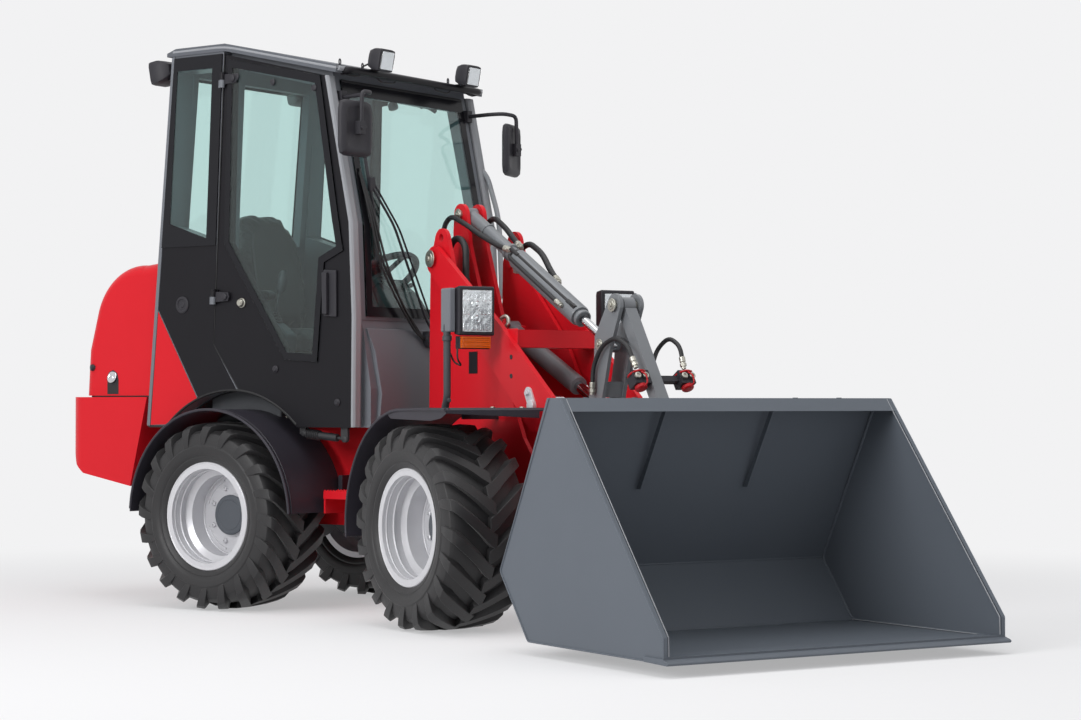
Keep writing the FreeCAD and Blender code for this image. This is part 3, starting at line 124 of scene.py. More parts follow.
def linear(colour: str) -> tuple[float, float, float, float]:
    """Turns an sRGB hex colour into linear values.

    Args:
        colour: six hex digits after a hash.

    Returns:
        Red, green, blue and an alpha of 1.
    """
    parts = [int(colour[i:i + 2], 16) / 255 for i in (1, 3, 5)]
    return (*[p / 12.92 if p <= 0.04045 else ((p + 0.055) / 1.055) ** 2.4 for p in parts], 1)


def add(tree: bpy.types.NodeTree, kind: str, settings: dict | None = None,
        inputs: dict | None = None) -> bpy.types.Node:
    """Adds a shader node.

    Args:
        tree: the node tree it goes in.
        kind: the node's type, without its ShaderNode prefix.
        settings: attributes of the node.
        inputs: for each socket, by name or index, a value or the socket that feeds it.

    Returns:
        The new node.
    """
    node = tree.nodes.new("ShaderNode" + kind)
    for name, value in (settings or {}).items():
        setattr(node, name, value)
    for name, value in (inputs or {}).items():
        if isinstance(value, bpy.types.NodeSocket):
            tree.links.new(value, node.inputs[name])
        else:
            node.inputs[name].default_value = value
    return node


@dataclass(frozen=True)
class Finish:
    """A surface as it is made, from its colour to its grain; each kind below sets its own values.

    Sizes are millimetres: `mottle` is the width of the soft colour patches, `grain` the width of
    the relief and `relief` its height. `slot` names a slot of the record; nothing here reads it.
    """

    name: str
    colour: str
    second: str
    roughness: float = 0.5
    spread: float = 0.06
    metallic: float = 0
    mottle: float = 120
    grain: float = 4
    relief: float = 0.02
    stretch: Point = (1, 1, 1)
    cells: bool = False
    slot: str = "black_plastic"
    shader: tuple[tuple[str, float], ...] = ()

    def position(self, tree: bpy.types.NodeTree) -> bpy.types.NodeSocket:
        """Returns the point on the piece, in metres, drawn out along the making direction."""
        where = add(tree, "TexCoord").outputs["Object"]
        return add(tree, "Mapping", inputs={"Vector": where, "Scale": self.stretch}).outputs[0]

    def material(self) -> bpy.types.Material:
        """Returns the finish's material, made once and shared.

        Returns:
            The material.
        """
        found = bpy.data.materials.get(self.name)
        if found:
            return found
        made = bpy.data.materials.new(self.name)
        made.use_nodes = True
        tree = made.node_tree
        shader = tree.nodes["Principled BSDF"]
        where = self.position(tree)
        patches = add(tree, "TexNoise", inputs={"Vector": where, "Scale": 1000 / self.mottle,
                                                "Detail": 3, "Roughness": 0.55})
        tone = add(tree, "Mix", {"data_type": "RGBA"}, {"Factor": patches.outputs["Fac"],
                                                        "A": linear(self.colour),
                                                        "B": linear(self.second)})
        tree.links.new(tone.outputs["Result"], shader.inputs["Base Color"])
        if self.cells:
            grain = add(tree, "TexVoronoi", {"feature": "SMOOTH_F1"},
                        {"Vector": where, "Scale": 1000 / self.grain,
                         "Smoothness": 0.6}).outputs["Distance"]
        else:
            grain = add(tree, "TexNoise", inputs={"Vector": where, "Scale": 1000 / self.grain,
                                                  "Detail": 2}).outputs["Fac"]
        gloss = add(tree, "MapRange", inputs={"Value": grain,
                                              "To Min": self.roughness - self.spread,
                                              "To Max": self.roughness + self.spread})
        tree.links.new(gloss.outputs["Result"], shader.inputs["Roughness"])
        bump = add(tree, "Bump", inputs={"Height": grain, "Strength": 1,
                                         "Distance": self.relief / 1000})
        tree.links.new(bump.outputs["Normal"], shader.inputs["Normal"])
        shader.inputs["Metallic"].default_value = self.metallic
        for socket, value in self.shader:
            shader.inputs[socket].default_value = value
        self.dress(tree, shader, where)
        return made

    def dress(self, tree: bpy.types.NodeTree, shader: bpy.types.Node,
              where: bpy.types.NodeSocket) -> None:
        """Adds what only this kind of finish has.

        Args:
            tree: the material's nodes.
            shader: its principled shader.
            where: the point on the piece.
        """


@dataclass(frozen=True)
class Enamel(Finish):
    """Baked powder enamel on sheet steel: even colour, a soft gloss and a faint orange peel."""

    roughness: float = 0.34
    spread: float = 0.03
    mottle: float = 420
    grain: float = 5
    relief: float = 0.035
    slot: str = "cab_grey"
    shader: tuple[tuple[str, float], ...] = (("Specular IOR Level", 0.2),)


@dataclass(frozen=True)
class Moulded(Finish):
    """Moulded plastic: a fine spark-eroded grain, drawn at 2 mm so that it shows."""

    roughness: float = 0.52
    grain: float = 2
    relief: float = 0.06
    cells: bool = True
    shader: tuple[tuple[str, float], ...] = (("Specular IOR Level", 0.3),)


@dataclass(frozen=True)
class TyreRubber(Finish):
    """Vulcanised tyre rubber: near black, with a broad sheen and a soft relief."""

    roughness: float = 0.50
    spread: float = 0.08
    mottle: float = 70
    grain: float = 6
    relief: float = 0.25
    slot: str = "tyre_rubber"
    shader: tuple[tuple[str, float], ...] = (("Sheen Weight", 0.10), ("Sheen Roughness", 0.5))


@dataclass(frozen=True)
class Metal(Finish):
    """Bare or plated metal, with a fine, even relief."""

    roughness: float = 0.30
    metallic: float = 1
    mottle: float = 40
    grain: float = 1.6
    relief: float = 0.01
    slot: str = "rod_chrome"


@dataclass(frozen=True)
class Glazing(Finish):
    """Toughened float glass, green in the body, with the slow ripple that the rollers leave."""

    roughness: float = 0
    spread: float = 0
    mottle: float = 900
    grain: float = 260
    relief: float = 0.05
    shader: tuple[tuple[str, float], ...] = (("Transmission Weight", 1), ("IOR", 1.42))

    def dress(self, tree: bpy.types.NodeTree, shader: bpy.types.Node,
              where: bpy.types.NodeSocket) -> None:
        """Lets light from the lamps through, so that what is behind the glass is lit.

        Args:
            tree: the material's nodes.
            shader: its principled shader.
            where: the point on the piece.
        """
        path = add(tree, "LightPath")
        lit = add(tree, "Math", {"operation": "MAXIMUM"},
                  {0: path.outputs["Is Shadow Ray"], 1: path.outputs["Is Diffuse Ray"]})
        clear = add(tree, "BsdfTransparent", inputs={"Color": linear(self.colour)})
        both = add(tree, "MixShader", inputs={0: lit.outputs[0], 1: shader.outputs[0],
                                              2: clear.outputs[0]})
        tree.links.new(both.outputs[0], tree.nodes["Material Output"].inputs["Surface"])


@dataclass(frozen=True)
class Lens(Finish):
    """Clear or dyed polycarbonate lens: moulded flutes a few millimetres wide."""

    roughness: float = 0.06
    spread: float = 0.03
    mottle: float = 60
    grain: float = 9
    relief: float = 0.25
    cells: bool = True
    slot: str = "window_glass"
    shader: tuple[tuple[str, float], ...] = (("Transmission Weight", 0.55), ("IOR", 1.58))


@dataclass(frozen=True)
class Upholstery(Finish):
    """Coated seat fabric: a pebbled grain about 1.5 mm wide, drawn at 3 mm so that it shows."""

    roughness: float = 0.62
    grain: float = 3
    relief: float = 0.25
    cells: bool = True
    slot: str = "seat_cloth"
    shader: tuple[tuple[str, float], ...] = (("Sheen Weight", 0.2), ("Sheen Roughness", 0.45))


@dataclass(frozen=True)
class Hose(Finish):
    """Rubber hydraulic hose: cloth-pressed cover, its wrap marks about 3 mm apart."""

    roughness: float = 0.55
    grain: float = 3
    relief: float = 0.15
    slot: str = "hose_rubber"


RED = Enamel("red_powder_enamel", "#D21C28", "#C91722", slot="body_red")
DARK_RED = Enamel("red_powder_enamel_frame", "#C6141F", "#B6101A", roughness=0.42)
SLATE = Enamel("slate_powder_enamel", "#60666E", "#5A6068", roughness=0.40, slot="slate_grey")
CAB_GREY = Enamel("grey_powder_enamel", "#72757B", "#6A6D73", roughness=0.36)
# Pale grey of the pillar trim, roof edges and grab rail; on the bucket's edges it is a painted
# highlight.
TRIM_AND_HIGHLIGHT_GREY = Enamel("light_grey_enamel_and_painted_highlight", "#96989C", "#8C8E93", roughness=0.38)
BLACK = Enamel("black_powder_enamel", "#1B1A1E", "#151418", roughness=0.38,
               shader=(("Specular IOR Level", 0.16),))
SILVER = Enamel("silver_wheel_enamel", "#D2D2D5", "#C8C8CC", roughness=0.34, metallic=0.3,
                slot="rim_silver")
HUB_GREY = Enamel("dark_grey_hub_enamel", "#5E6268", "#54585E", roughness=0.42, slot="rim_silver")
CHASSIS_BLACK = Enamel("black_chassis_enamel", "#232326", "#1B1B1E", roughness=0.5, relief=0.08)
CAST = Finish("painted_cast_iron", "#2C2C2F", "#222225", roughness=0.55, mottle=60, grain=3,
              relief=0.35, slot="black_steel")
PLASTIC = Moulded("moulded_black_polypropylene", "#2F2E33", "#28272C")
FENDER = Moulded("moulded_black_polyethylene", "#34323A", "#2D2B32", roughness=0.42, relief=0.04,
                 slot="black_steel")
RED_PLASTIC = Moulded("moulded_red_nylon", "#B8141D", "#A30F18", roughness=0.45, slot="body_red")
GREY_PLASTIC = Moulded("moulded_grey_polypropylene", "#4A4C50", "#414347")
TYRE = TyreRubber("vulcanised_tyre_rubber", "#1A191B", "#131214")
# Black rubber of the seals, piping and bellows; as the plate round each hood side lamp it is
# painted shade in the lamp's recess.
SEAL_AND_SHADE = Finish("extruded_rubber_seal_and_painted_shade", "#1B1B1D", "#151517", roughness=0.65, grain=1.5)
LINK_GREY = Enamel("linkage_grey_powder_enamel", "#74777B", "#6E7175", roughness=0.33,
                   slot="slate_grey", shader=(("Specular IOR Level", 0.5),))
ROOF_GREY = Enamel("roof_grey_powder_enamel", "#5F6268", "#595C62", roughness=0.45)
CHROME = Metal("hard_chromed_rod", "#D6D7D9", "#C9CACD", roughness=0.14, spread=0.04)
ZINC = Metal("zinc_plated_steel", "#B9B7AE", "#A7A59B", roughness=0.36, metallic=0.9, relief=0.03)
MIRROR = Metal("silvered_mirror_glass", "#D9DCDD", "#D2D5D6", roughness=0.04, spread=0.01)
REFLECTOR = Metal("aluminised_reflector", "#F6F6F7", "#E6E7E8", roughness=0.24, grain=34,
                  relief=2.5)
GLASS = Glazing("green_toughened_glass", "#DFF1EF", "#DBEFEC")
CLEAR_LENS = Lens("clear_polycarbonate_lens", "#F4F6F7", "#EEF1F3", relief=0.05,
                  shader=(("Transmission Weight", 1), ("IOR", 1.45)))
AMBER_LENS = Lens("amber_polycarbonate_lens", "#F07018", "#E86010",
                  shader=(("Transmission Weight", 0.15), ("IOR", 1.58)))
RED_LENS = Lens("red_polycarbonate_lens", "#B3121A", "#9E0D14")
SEAT = Upholstery("black_coated_seat_fabric", "#2A2A2D", "#222225")
HOSE = Hose("black_hydraulic_hose", "#1E1E20", "#17171A")
FRIT = Enamel("black_ceramic_frit", "#1C1C20", "#18181C", roughness=0.2, relief=0.01,
              slot="window_glass")


# ---------------------------------------------------------------- mesh work


def circle(centre: Vector, across: Vector, up: Vector, radius: float, sides: int) -> list[Point]:
    """Returns the points of a circle.

    Args:
        centre: its centre.
        across: a unit vector in its plane.
        up: the unit vector at right angles to it.
        radius: its radius.
        sides: how many points.

    Returns:
        The points.
    """
    turns = [math.tau * i / sides for i in range(sides)]
    return [tuple(centre + radius * (across * math.cos(t) + up * math.sin(t))) for t in turns]


class Stock:
    """A mesh under construction, in the millimetres of one half of the machine."""

    def __init__(self, half: Half = Half.REAR) -> None:
        """Starts empty.

        Args:
            half: the half frame whose millimetres the points are in.
        """
        self.half = half
        self.mesh = bmesh.new()

    def loops(self, rings: Sequence[Sequence[Point]], closed: bool = True, caps: bool = True,
              ends_meet: bool = False) -> "Stock":
        """Skins a row of rings.

        Args:
            rings: rings of points, all with the same count.
            closed: joins each ring's last point to its first.
            caps: closes the first and the last ring.
            ends_meet: joins the last ring to the first.

        Returns:
            This stock.
        """
        made = [[self.mesh.verts.new(p) for p in ring] for ring in rings]
        count = len(made[0])
        pairs = list(zip(made, made[1:])) + ([(made[-1], made[0])] if ends_meet else [])
        for one, two in pairs:
            for i in range(count if closed else count - 1):
                j = (i + 1) % count
                self.mesh.faces.new((one[i], one[j], two[j], two[i]))
        if caps and closed and not ends_meet:
            self.mesh.faces.new(reversed(made[0]))
            self.mesh.faces.new(made[-1])
        return self

    def plate(self, plane: Plane, outline: Sequence[Flat], low: float, high: float) -> "Stock":
        """Adds a flat plate: an outline in a plane, from one depth to another.

        Args:
            plane: the plane of the outline.
            outline: the outline's points.
            low: the depth of one face.
            high: the depth of the other.

        Returns:
            This stock.
        """
        a, b, c = plane.value
        rings = []
        for depth in (low, high):
            ring = []
            for u, v in outline:
                point = [0, 0, 0]
                point[a], point[b], point[c] = u, v, depth
                ring.append(tuple(point))
            rings.append(ring)
        return self.loops(rings)

    def block(self, low: Point, high: Point) -> "Stock":
        """Adds a block between two corners."""
        outline = [(low[0], low[1]), (high[0], low[1]), (high[0], high[1]), (low[0], high[1])]
        return self.plate(Plane.PLAN, outline, low[2], high[2])

    def turned(self, start: Point, axis: Point, profile: Sequence[Flat], sides: int = 32,
               closed: bool = False) -> "Stock":
        """Adds a turned part.

        Args:
            start: the point that the profile's distances start from.
            axis: the direction of the axis.
            profile: distance along the axis and radius, from one end to the other.
            sides: how many flats stand for the round.
            closed: the profile is a loop, for a ring with a hole.

        Returns:
            This stock.
        """
        way = Vector(axis).normalized()
        across = way.orthogonal().normalized()
        up = way.cross(across)
        rings = [circle(Vector(start) + way * along, across, up, radius, sides)
                 for along, radius in profile]
        return self.loops(rings, caps=not closed, ends_meet=closed)

    def rod(self, start: Point, end: Point, radius: float, sides: int = 24,
            chamfer: float = 1) -> "Stock":
        """Adds a round bar with a small chamfer at each end.

        Args:
            start: the middle of one end.
            end: the middle of the other.
            radius: its radius.
            sides: how many flats stand for the round.
            chamfer: the width of the chamfers.

        Returns:
            This stock.
        """
        way = Vector(end) - Vector(start)
        full = way.length
        cut = min(chamfer, radius / 3, full / 3)
        return self.turned(start, tuple(way), [(0, radius - cut), (cut, radius),
                                               (full - cut, radius), (full, radius - cut)], sides)

    def tube(self, corners: Sequence[Point], radius: float, bend: float = 30,
             sides: int = 14) -> "Stock":
        """Adds a bent tube: straight runs with a round bend at each corner.

        Args:
            corners: its ends and the corners between them.
            radius: its radius.
            bend: how far from each corner its bend starts.
            sides: how many flats stand for the round.

        Returns:
            This stock.
        """
        points = [Vector(c) for c in corners]
        line = [points[0]]
        for before, corner, after in zip(points, points[1:], points[2:]):
            back, on = (before - corner), (after - corner)
            reach = min(bend, back.length * 0.45, on.length * 0.45)
            one, two = corner + back.normalized() * reach, corner + on.normalized() * reach
            for step in range(7):
                t = step / 6
                line.append(one * (1 - t) ** 2 + corner * 2 * t * (1 - t) + two * t * t)
        line.append(points[-1])
        rings = []
        side = (line[1] - line[0]).orthogonal().normalized()
        for i, point in enumerate(line):
            way = (line[min(i + 1, len(line) - 1)] - line[max(i - 1, 0)]).normalized()
            side = (side - way * side.dot(way)).normalized()
            up = way.cross(side)
            rings.append(circle(point, side, up, radius, sides))
        return self.loops(rings)

    def bolt(self, at: Point, axis: Point, size: float = 10, washer: bool = True) -> "Stock":
        """Adds a hexagon bolt head, with its washer, standing on a face.

        Args:
            at: the point on the face.
            axis: the way the head stands out.
            size: the thread's diameter; the head is 1.7 of it across its flats.
            washer: adds the washer under it.

        Returns:
            This stock.
        """
        base = 0
        if washer:
            self.turned(at, axis, [(-0.5, size * 1.05), (size * 0.2, size * 1.05)], 20)
            base = size * 0.2
        flat = size * 0.98
        return self.turned(at, axis, [(base - 0.2, flat), (base + size * 0.5, flat),
                                      (base + size * 0.65, flat * 0.86)], 6)

    def piece(self, name: str, finish: Finish, body: str = "", slot: str = "", bevel: float = 0,
              angle: float = 35) -> bpy.types.Object:
        """Ends the work, puts the piece in the scene, rounds its edges and lets it ride.

        Args:
            name: the piece's name.
            finish: what it is finished in.
            body: the moving body it rides on, if it isn't its half frame's own.
            slot: the material slot it would take its finish from, if it isn't the finish's own; not
                used.
            bevel: the width of its edges' round, in millimetres.
            angle: edges sharper than this many degrees stay crisp.

        Returns:
            The piece's object.
        """
        bmesh.ops.recalc_face_normals(self.mesh, faces=self.mesh.faces)
        mesh = bpy.data.meshes.new(name)
        self.mesh.transform(self.half.place())
        self.mesh.to_mesh(mesh)
        self.mesh.free()
        made = bpy.data.objects.new(name, mesh)
        bpy.context.scene.collection.objects.link(made)
        made.data.materials.append(finish.material())
        made.data.polygons.foreach_set("use_smooth", [True] * len(made.data.polygons))
        made.data.set_sharp_from_angle(angle=math.radians(angle))
        if bevel:
            edge = made.modifiers.new("edges", "BEVEL")
            edge.width = bevel / 1000
            edge.segments = 2
            edge.angle_limit = math.radians(angle)
            edge.harden_normals = True
        body = body or self.half.value + "_body"
        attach(made, body)
        LOG.info("piece %s rides on %s: %d faces", made.name, body, len(made.data.polygons))
        return made


def bead_section(thick: float, radius: float, count: int) -> list[Flat]:
    """Returns a ring's round section, as a closed profile for turning.

    Args:
        thick: the section's radius.
        radius: the ring's radius.
        count: how many points.

    Returns:
        Distances along the axis and radii.
    """
    turns = [math.tau * i / count for i in range(count)]
    return [(thick * math.cos(t), radius + thick * math.sin(t)) for t in turns]


def rounded(wide: float, high: float, power: int, count: int) -> list[Flat]:
    """Returns a rectangle's outline with generous corners.

    Args:
        wide: half its width.
        high: half its height.
        power: how square it is; 2 is an ellipse.
        count: how many points.

    Returns:
        The outline's points.
    """
    points = []
    for i in range(count):
        t = math.tau * i / count
        c, s = math.cos(t), math.sin(t)
        grow = 1 / (abs(c) ** power + abs(s) ** power) ** (1 / power)
        points.append((wide * c * grow, high * s * grow))
    return points


def arc(centre: Flat, radius: float, start: float, end: float, across: float,
        count: int = 20) -> list[Point]:
    """Returns points along an arc in a side plane.

    Args:
        centre: its centre, along and up.
        radius: its radius.
        start: the first point's angle from straight ahead, in degrees.
        end: the last point's angle.
        across: the width that it lies at.
        count: how many points.

    Returns:
        The points.
    """
    turns = [math.radians(start + (end - start) * i / (count - 1)) for i in range(count)]
    return [(centre[0] + radius * math.cos(t), across, centre[1] + radius * math.sin(t))
            for t in turns]


# ---------------------------------------------------------------- wheels


@dataclass
class Wheel:
    """One wheel: a lugged traction tyre, and the fittings of its deep rim."""

    name: str
    half: Half
    along: float
    side: float
    track: float = 460
    height: float = HUB
    lugs: int = 20
    facets: int = 120
    nuts: int = 8
    casing: tuple[Flat, ...] = (
        (133.8, 193), (133.8, 210.5), (143, 213), (151, 223), (154.5, 232),
        (152.5, 236), (157, 241), (161, 256), (163, 274), (159.5, 279),
        (158.5, 305), (152, 324), (136, 335), (84, 341), (0, 343))
    crest: tuple[tuple[float, float, float, float], ...] = (
        (160.5, 276, 1.5, 22), (164.5, 300, 0.5, 32), (164.5, 326, -1, 38),
        (159, 350, -2.6, 42), (143, 361.5, -4.8, 44), (106, 365, -9.5, 45),
        (62, 367, -15, 47), (22, 368, -20.5, 52), (-14, 368, -24.5, 54))

    def owner(self, part: str) -> str:
        """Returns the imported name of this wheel's body or of one of its parts."""
        where, side = self.name.split("_")
        return "_".join((where, part, side))

    def at(self, out: float, radius: float, turn: float) -> Point:
        """Returns a point from its distance out, its radius and its angle in degrees.

        Args:
            out: the distance out from the wheel's middle plane.
            radius: its radius.
            turn: its angle.

        Returns:
            The point.
        """
        angle = math.radians(turn)
        return (self.along + radius * math.cos(angle), self.side * (self.track + out),
                self.height + radius * math.sin(angle))

    def lug(self, stock: Stock, turn: float, side: float) -> None:
        """Adds one lug, from the side wall over the shoulder to the middle of the tread.

        Args:
            stock: the tyre under construction.
            turn: where it stands round the tyre, in degrees.
            side: 1 for the outer row and -1 for the inner one.
        """
        rings = []
        for out, radius, sweep, width in self.crest:
            low_out, low = out * 0.8, 230 + (radius - 230) * 0.8
            wide, foot = math.degrees(width / 2 / radius), math.degrees((width + 12) / 2 / radius)
            rings.append([self.at(low_out * side, low, turn + sweep - foot),
                          self.at(out * side, radius, turn + sweep - wide),
                          self.at(out * side, radius, turn + sweep + wide),
                          self.at(low_out * side, low, turn + sweep + foot)])
        stock.loops(rings)

    def tyre(self) -> None:
        """Builds the tyre: its casing, and two rows of lugs half a pitch apart."""
        stock = Stock(self.half)
        outline = list(self.casing) + [(-out, radius) for out, radius in self.casing[-2::-1]]
        rings = [[self.at(out, radius, 360 * i / self.facets) for out, radius in outline]
                 for i in range(self.facets)]
        stock.loops(rings, ends_meet=True)
        pitch = 360 / self.lugs
        for number in range(self.lugs):
            self.lug(stock, number * pitch, 1)
            self.lug(stock, (number + 0.5) * pitch, -1)
        made = stock.piece("tread_" + self.name, TYRE, self.owner("wheel"), bevel=4, angle=32)
        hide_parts(self.owner("tyre"))

    def fittings(self) -> None:
        """Builds the rolled flange, the nuts, the ribs of the disc, the hub cap and the valve."""
        body = self.owner("wheel")
        axis = (0, self.side, 0)

        def centre(out: float) -> Point:
            """Returns the point of the axle at a distance out."""
            return (self.along, self.side * (self.track + out), self.height)

        bead = Stock(self.half)
        for out, radius, thick in (
                (139.5, 207.5, 5), (137, 196, 3.6), (124, 187, 4.5), (96, 181, 4), (-14, 157.5, 4)):
            bead.turned(centre(out), axis, bead_section(thick, radius, 10), 96, closed=True)
        for start in (20, 110, 200, 290):
            rings = []
            for step in range(15):
                turn = start + 54 * step / 14
                rings.append([self.at(-15.5, 136, turn), self.at(-11, 138, turn),
                              self.at(-11, 145, turn), self.at(-15.5, 147, turn)])
            bead.loops(rings)
        bead.piece("rim_beads_" + self.name, SILVER, body, bevel=0.8)
        nuts = Stock(self.half)
        for number in range(self.nuts):
            at = self.at(-15, 112, 22.5 + 360 * number / self.nuts)
            nuts.turned(at, axis, [(-0.5, 15), (1.5, 15), (1.5, 11.5), (9, 11), (11, 8), (11, 4),
                                   (16, 3.6)], 6)
        nuts.piece("wheel_nuts_" + self.name, SILVER, body)
        cap = Stock(self.half)
        cap.turned(centre(1.9), axis, [(0, 79.5), (5.5, 79), (8.5, 75.5), (9.4, 68), (9.6, 62),
                                       (8.2, 60.5), (8.2, 58.5), (9.8, 57), (11, 30), (11.3, 6),
                                       (10.6, 5), (10.6, 0.5)], 64)
        cap.piece("hub_cap_" + self.name, HUB_GREY, body, bevel=0.6)
        valve = Stock(self.half)
        foot = self.at(-15, 146, -78)
        out = (foot[0], foot[1] + self.side * 46, foot[2])
        valve.rod(foot, out, 4.2).rod((out[0], out[1] - self.side * 14, out[2]), out, 5.6)
        turns = [self.at(8, 150 + 16 * math.sin(math.tau * i / 12),
                         -78 + 6.5 * math.cos(math.tau * i / 12)) for i in range(10)]
        valve.tube(turns, 3.6, bend=6, sides=8)
        valve.piece("tyre_valve_" + self.name, ZINC, body, slot="rim_silver")

    def build(self) -> None:
        """Builds the tyre and the fittings."""
        self.tyre()
        self.fittings()


@dataclass
class Wheels:
    """The four wheels."""

    def build(self) -> None:
        """Builds each wheel on its half frame."""
        for side, sign in SIDES:
            Wheel("rear_" + side, Half.REAR, -AXLE, sign).build()
            Wheel("front_" + side, Half.FRONT, AXLE, sign).build()


# ---------------------------------------------------------------- fenders and steps


@dataclass
class Fenders:
    """The rolled lips of the fenders, their stiffening beads and their fixing bolts."""

    outer: float = 619
    lip: float = 5.5

    def lips(self, name: str, half: Half, line: Callable[[float, float], list[Point]],
             sign: float) -> None:
        """Builds the double lip along a fender's outer edge.

        Args:
            name: the piece's name.
            half: the half frame it is on.
            line: gives the edge's points at a width and a distance off the sheet.
            sign: 1 on the left and -1 on the right.
        """
        stock = Stock(half).tube(line(sign * self.outer, 2.5), self.lip, bend=20, sides=10)
        stock.tube(line(sign * (self.outer - 15), 5.5), 2.6, bend=20, sides=8).piece(name, FENDER)

    def rear_line(self, across: float, off: float) -> list[Point]:
        """Returns the rear fender's edge at a width, a distance off its sheet."""
        return arc((-715, HUB), 414.5 + off, 3, 177, across, 26)

    def front_line(self, across: float, off: float) -> list[Point]:
        """Returns the front fender's edge at a width, a distance off its sheet."""
        points = arc((720, HUB), 415.5 + off, 187, 92, across, 18)
        return points + [(870, across, 786 + off), (1036, across, 785 + off)]

    def build(self) -> None:
        """Builds the lips, the arch seals of the cab and the bolts."""
        for side, sign in SIDES:
            self.lips("rear_fender_lip_" + side, Half.REAR, self.rear_line, sign)
            self.lips("front_fender_lip_" + side, Half.FRONT, self.front_line, sign)
            seal = Stock().tube(arc((-AXLE, HUB), 493, 46.5, 133.5, sign * SEAM, 22), 6, sides=10)
            seal.tube([(-1080, sign * SEAM, 716), (-1180, sign * SEAM, 716)], 5)
            seal.piece("arch_seal_" + side, SEAL_AND_SHADE, slot="black_steel")
            bolts = Stock()
            for x, z in ((-560, 745), (-870, 745)):
                bolts.bolt((x, sign * 330, z + 6), (0, 0, 1), 10)
            bolts.piece("fender_bolts_" + side, ZINC, slot="black_steel")
            skirt = Stock(Half.FRONT)
            skirt.plate(Plane.SIDE, [(600, 777), (720, 785), (1038, 785), (1038, 774), (1000, 757),
                                     (930, 748), (760, 751), (640, 754)], sign * 612, sign * 617)
            skirt.plate(Plane.FACE, [(sign * 236, 785), (sign * 617, 785), (sign * 617, 774),
                                     (sign * 236, 757)], 1034, 1038)
            skirt.piece("front_fender_skirt_" + side, FENDER, bevel=1.5)
            front = Stock(Half.FRONT)
            for x in (760, 960):
                front.bolt((x, sign * 262, 788.5), (0, 0, 1), 10)
            front.piece("front_fender_bolts_" + side, ZINC, slot="black_steel")


@dataclass
class Steps:
    """The serrated tread strips of the entry steps, and the strut under each door."""

    back: float = -275
    pitch: float = 14.4
    strips: Point = (440.2, 360, 290)
    strut_line: float = 441

    def build(self) -> None:
        """Builds a toothed strip on each step, and each strut with its boot."""
        for side, sign in SIDES:
            stock = Stock()
            teeth: list[Flat] = [(self.back, 441)]
            for number in range(9):
                x = self.back + number * self.pitch
                teeth += [(x + 1, 470), (x + 5, 476), (x + 9.4, 476), (x + 13.4, 470)]
            teeth.append((-145, 441))
            for near in self.strips:
                stock.plate(Plane.SIDE, teeth, sign * near, sign * (near + 4))
            stock.piece("step_teeth_" + side, RED, slot="black_steel", bevel=0.8)
            strut = Stock()
            y = sign * self.strut_line
            strut.rod((-366, y, 692), (-205, y, 676), 15)
            for number in range(7):
                x = -352 + number * 9
                strut.turned((x, y, 690.6 - number * 0.9), (1, 0, -0.1),
                             [(-4, 15.5), (-1, 20), (1, 20), (4, 15.5)], 20)
            strut.rod((-205, y, 676), (-172, y, 672.7), 6)
            strut.turned((-168, y - 9, 672), (0, 1, 0), [(0, 12), (1, 13.5), (17, 13.5), (18, 12)],
                         20)
            strut.turned((-374, y - 8, 693), (0, 1, 0), [(0, 10), (1, 12), (15, 12), (16, 10)], 20)
            strut.block((-392, min(y - 6, y + 6), 690), (-362, max(y - 6, y + 6), 716.5))
            strut.block((-186, min(y - 6, y + 6), 668), (-152, max(y - 6, y + 6), 716.5))
            strut.piece("door_sill_strut_" + side, CAST, bevel=0.6)


# ---------------------------------------------------------------- cab


FRONT_EDGE = ((716, -115), (1141, -112), (1500, -128), (2060, -245))


def front_x(level: float) -> float:
    """Returns how far forward the cab's front line lies at a level.

    Args:
        level: the height.

    Returns:
        The distance ahead of the pivot.
    """
    for (low, x0), (high, x1) in zip(FRONT_EDGE, FRONT_EDGE[1:]):
        if level <= high:
            return x0 + (x1 - x0) * (level - low) / (high - low)
    return FRONT_EDGE[-1][1] - (level - FRONT_EDGE[-1][0]) * 0.21


def rear_x(level: float) -> float:
    """Returns how far back the cab's rear edge lies at a level."""
    return -1185 + (level - 716) * 135 / 1489


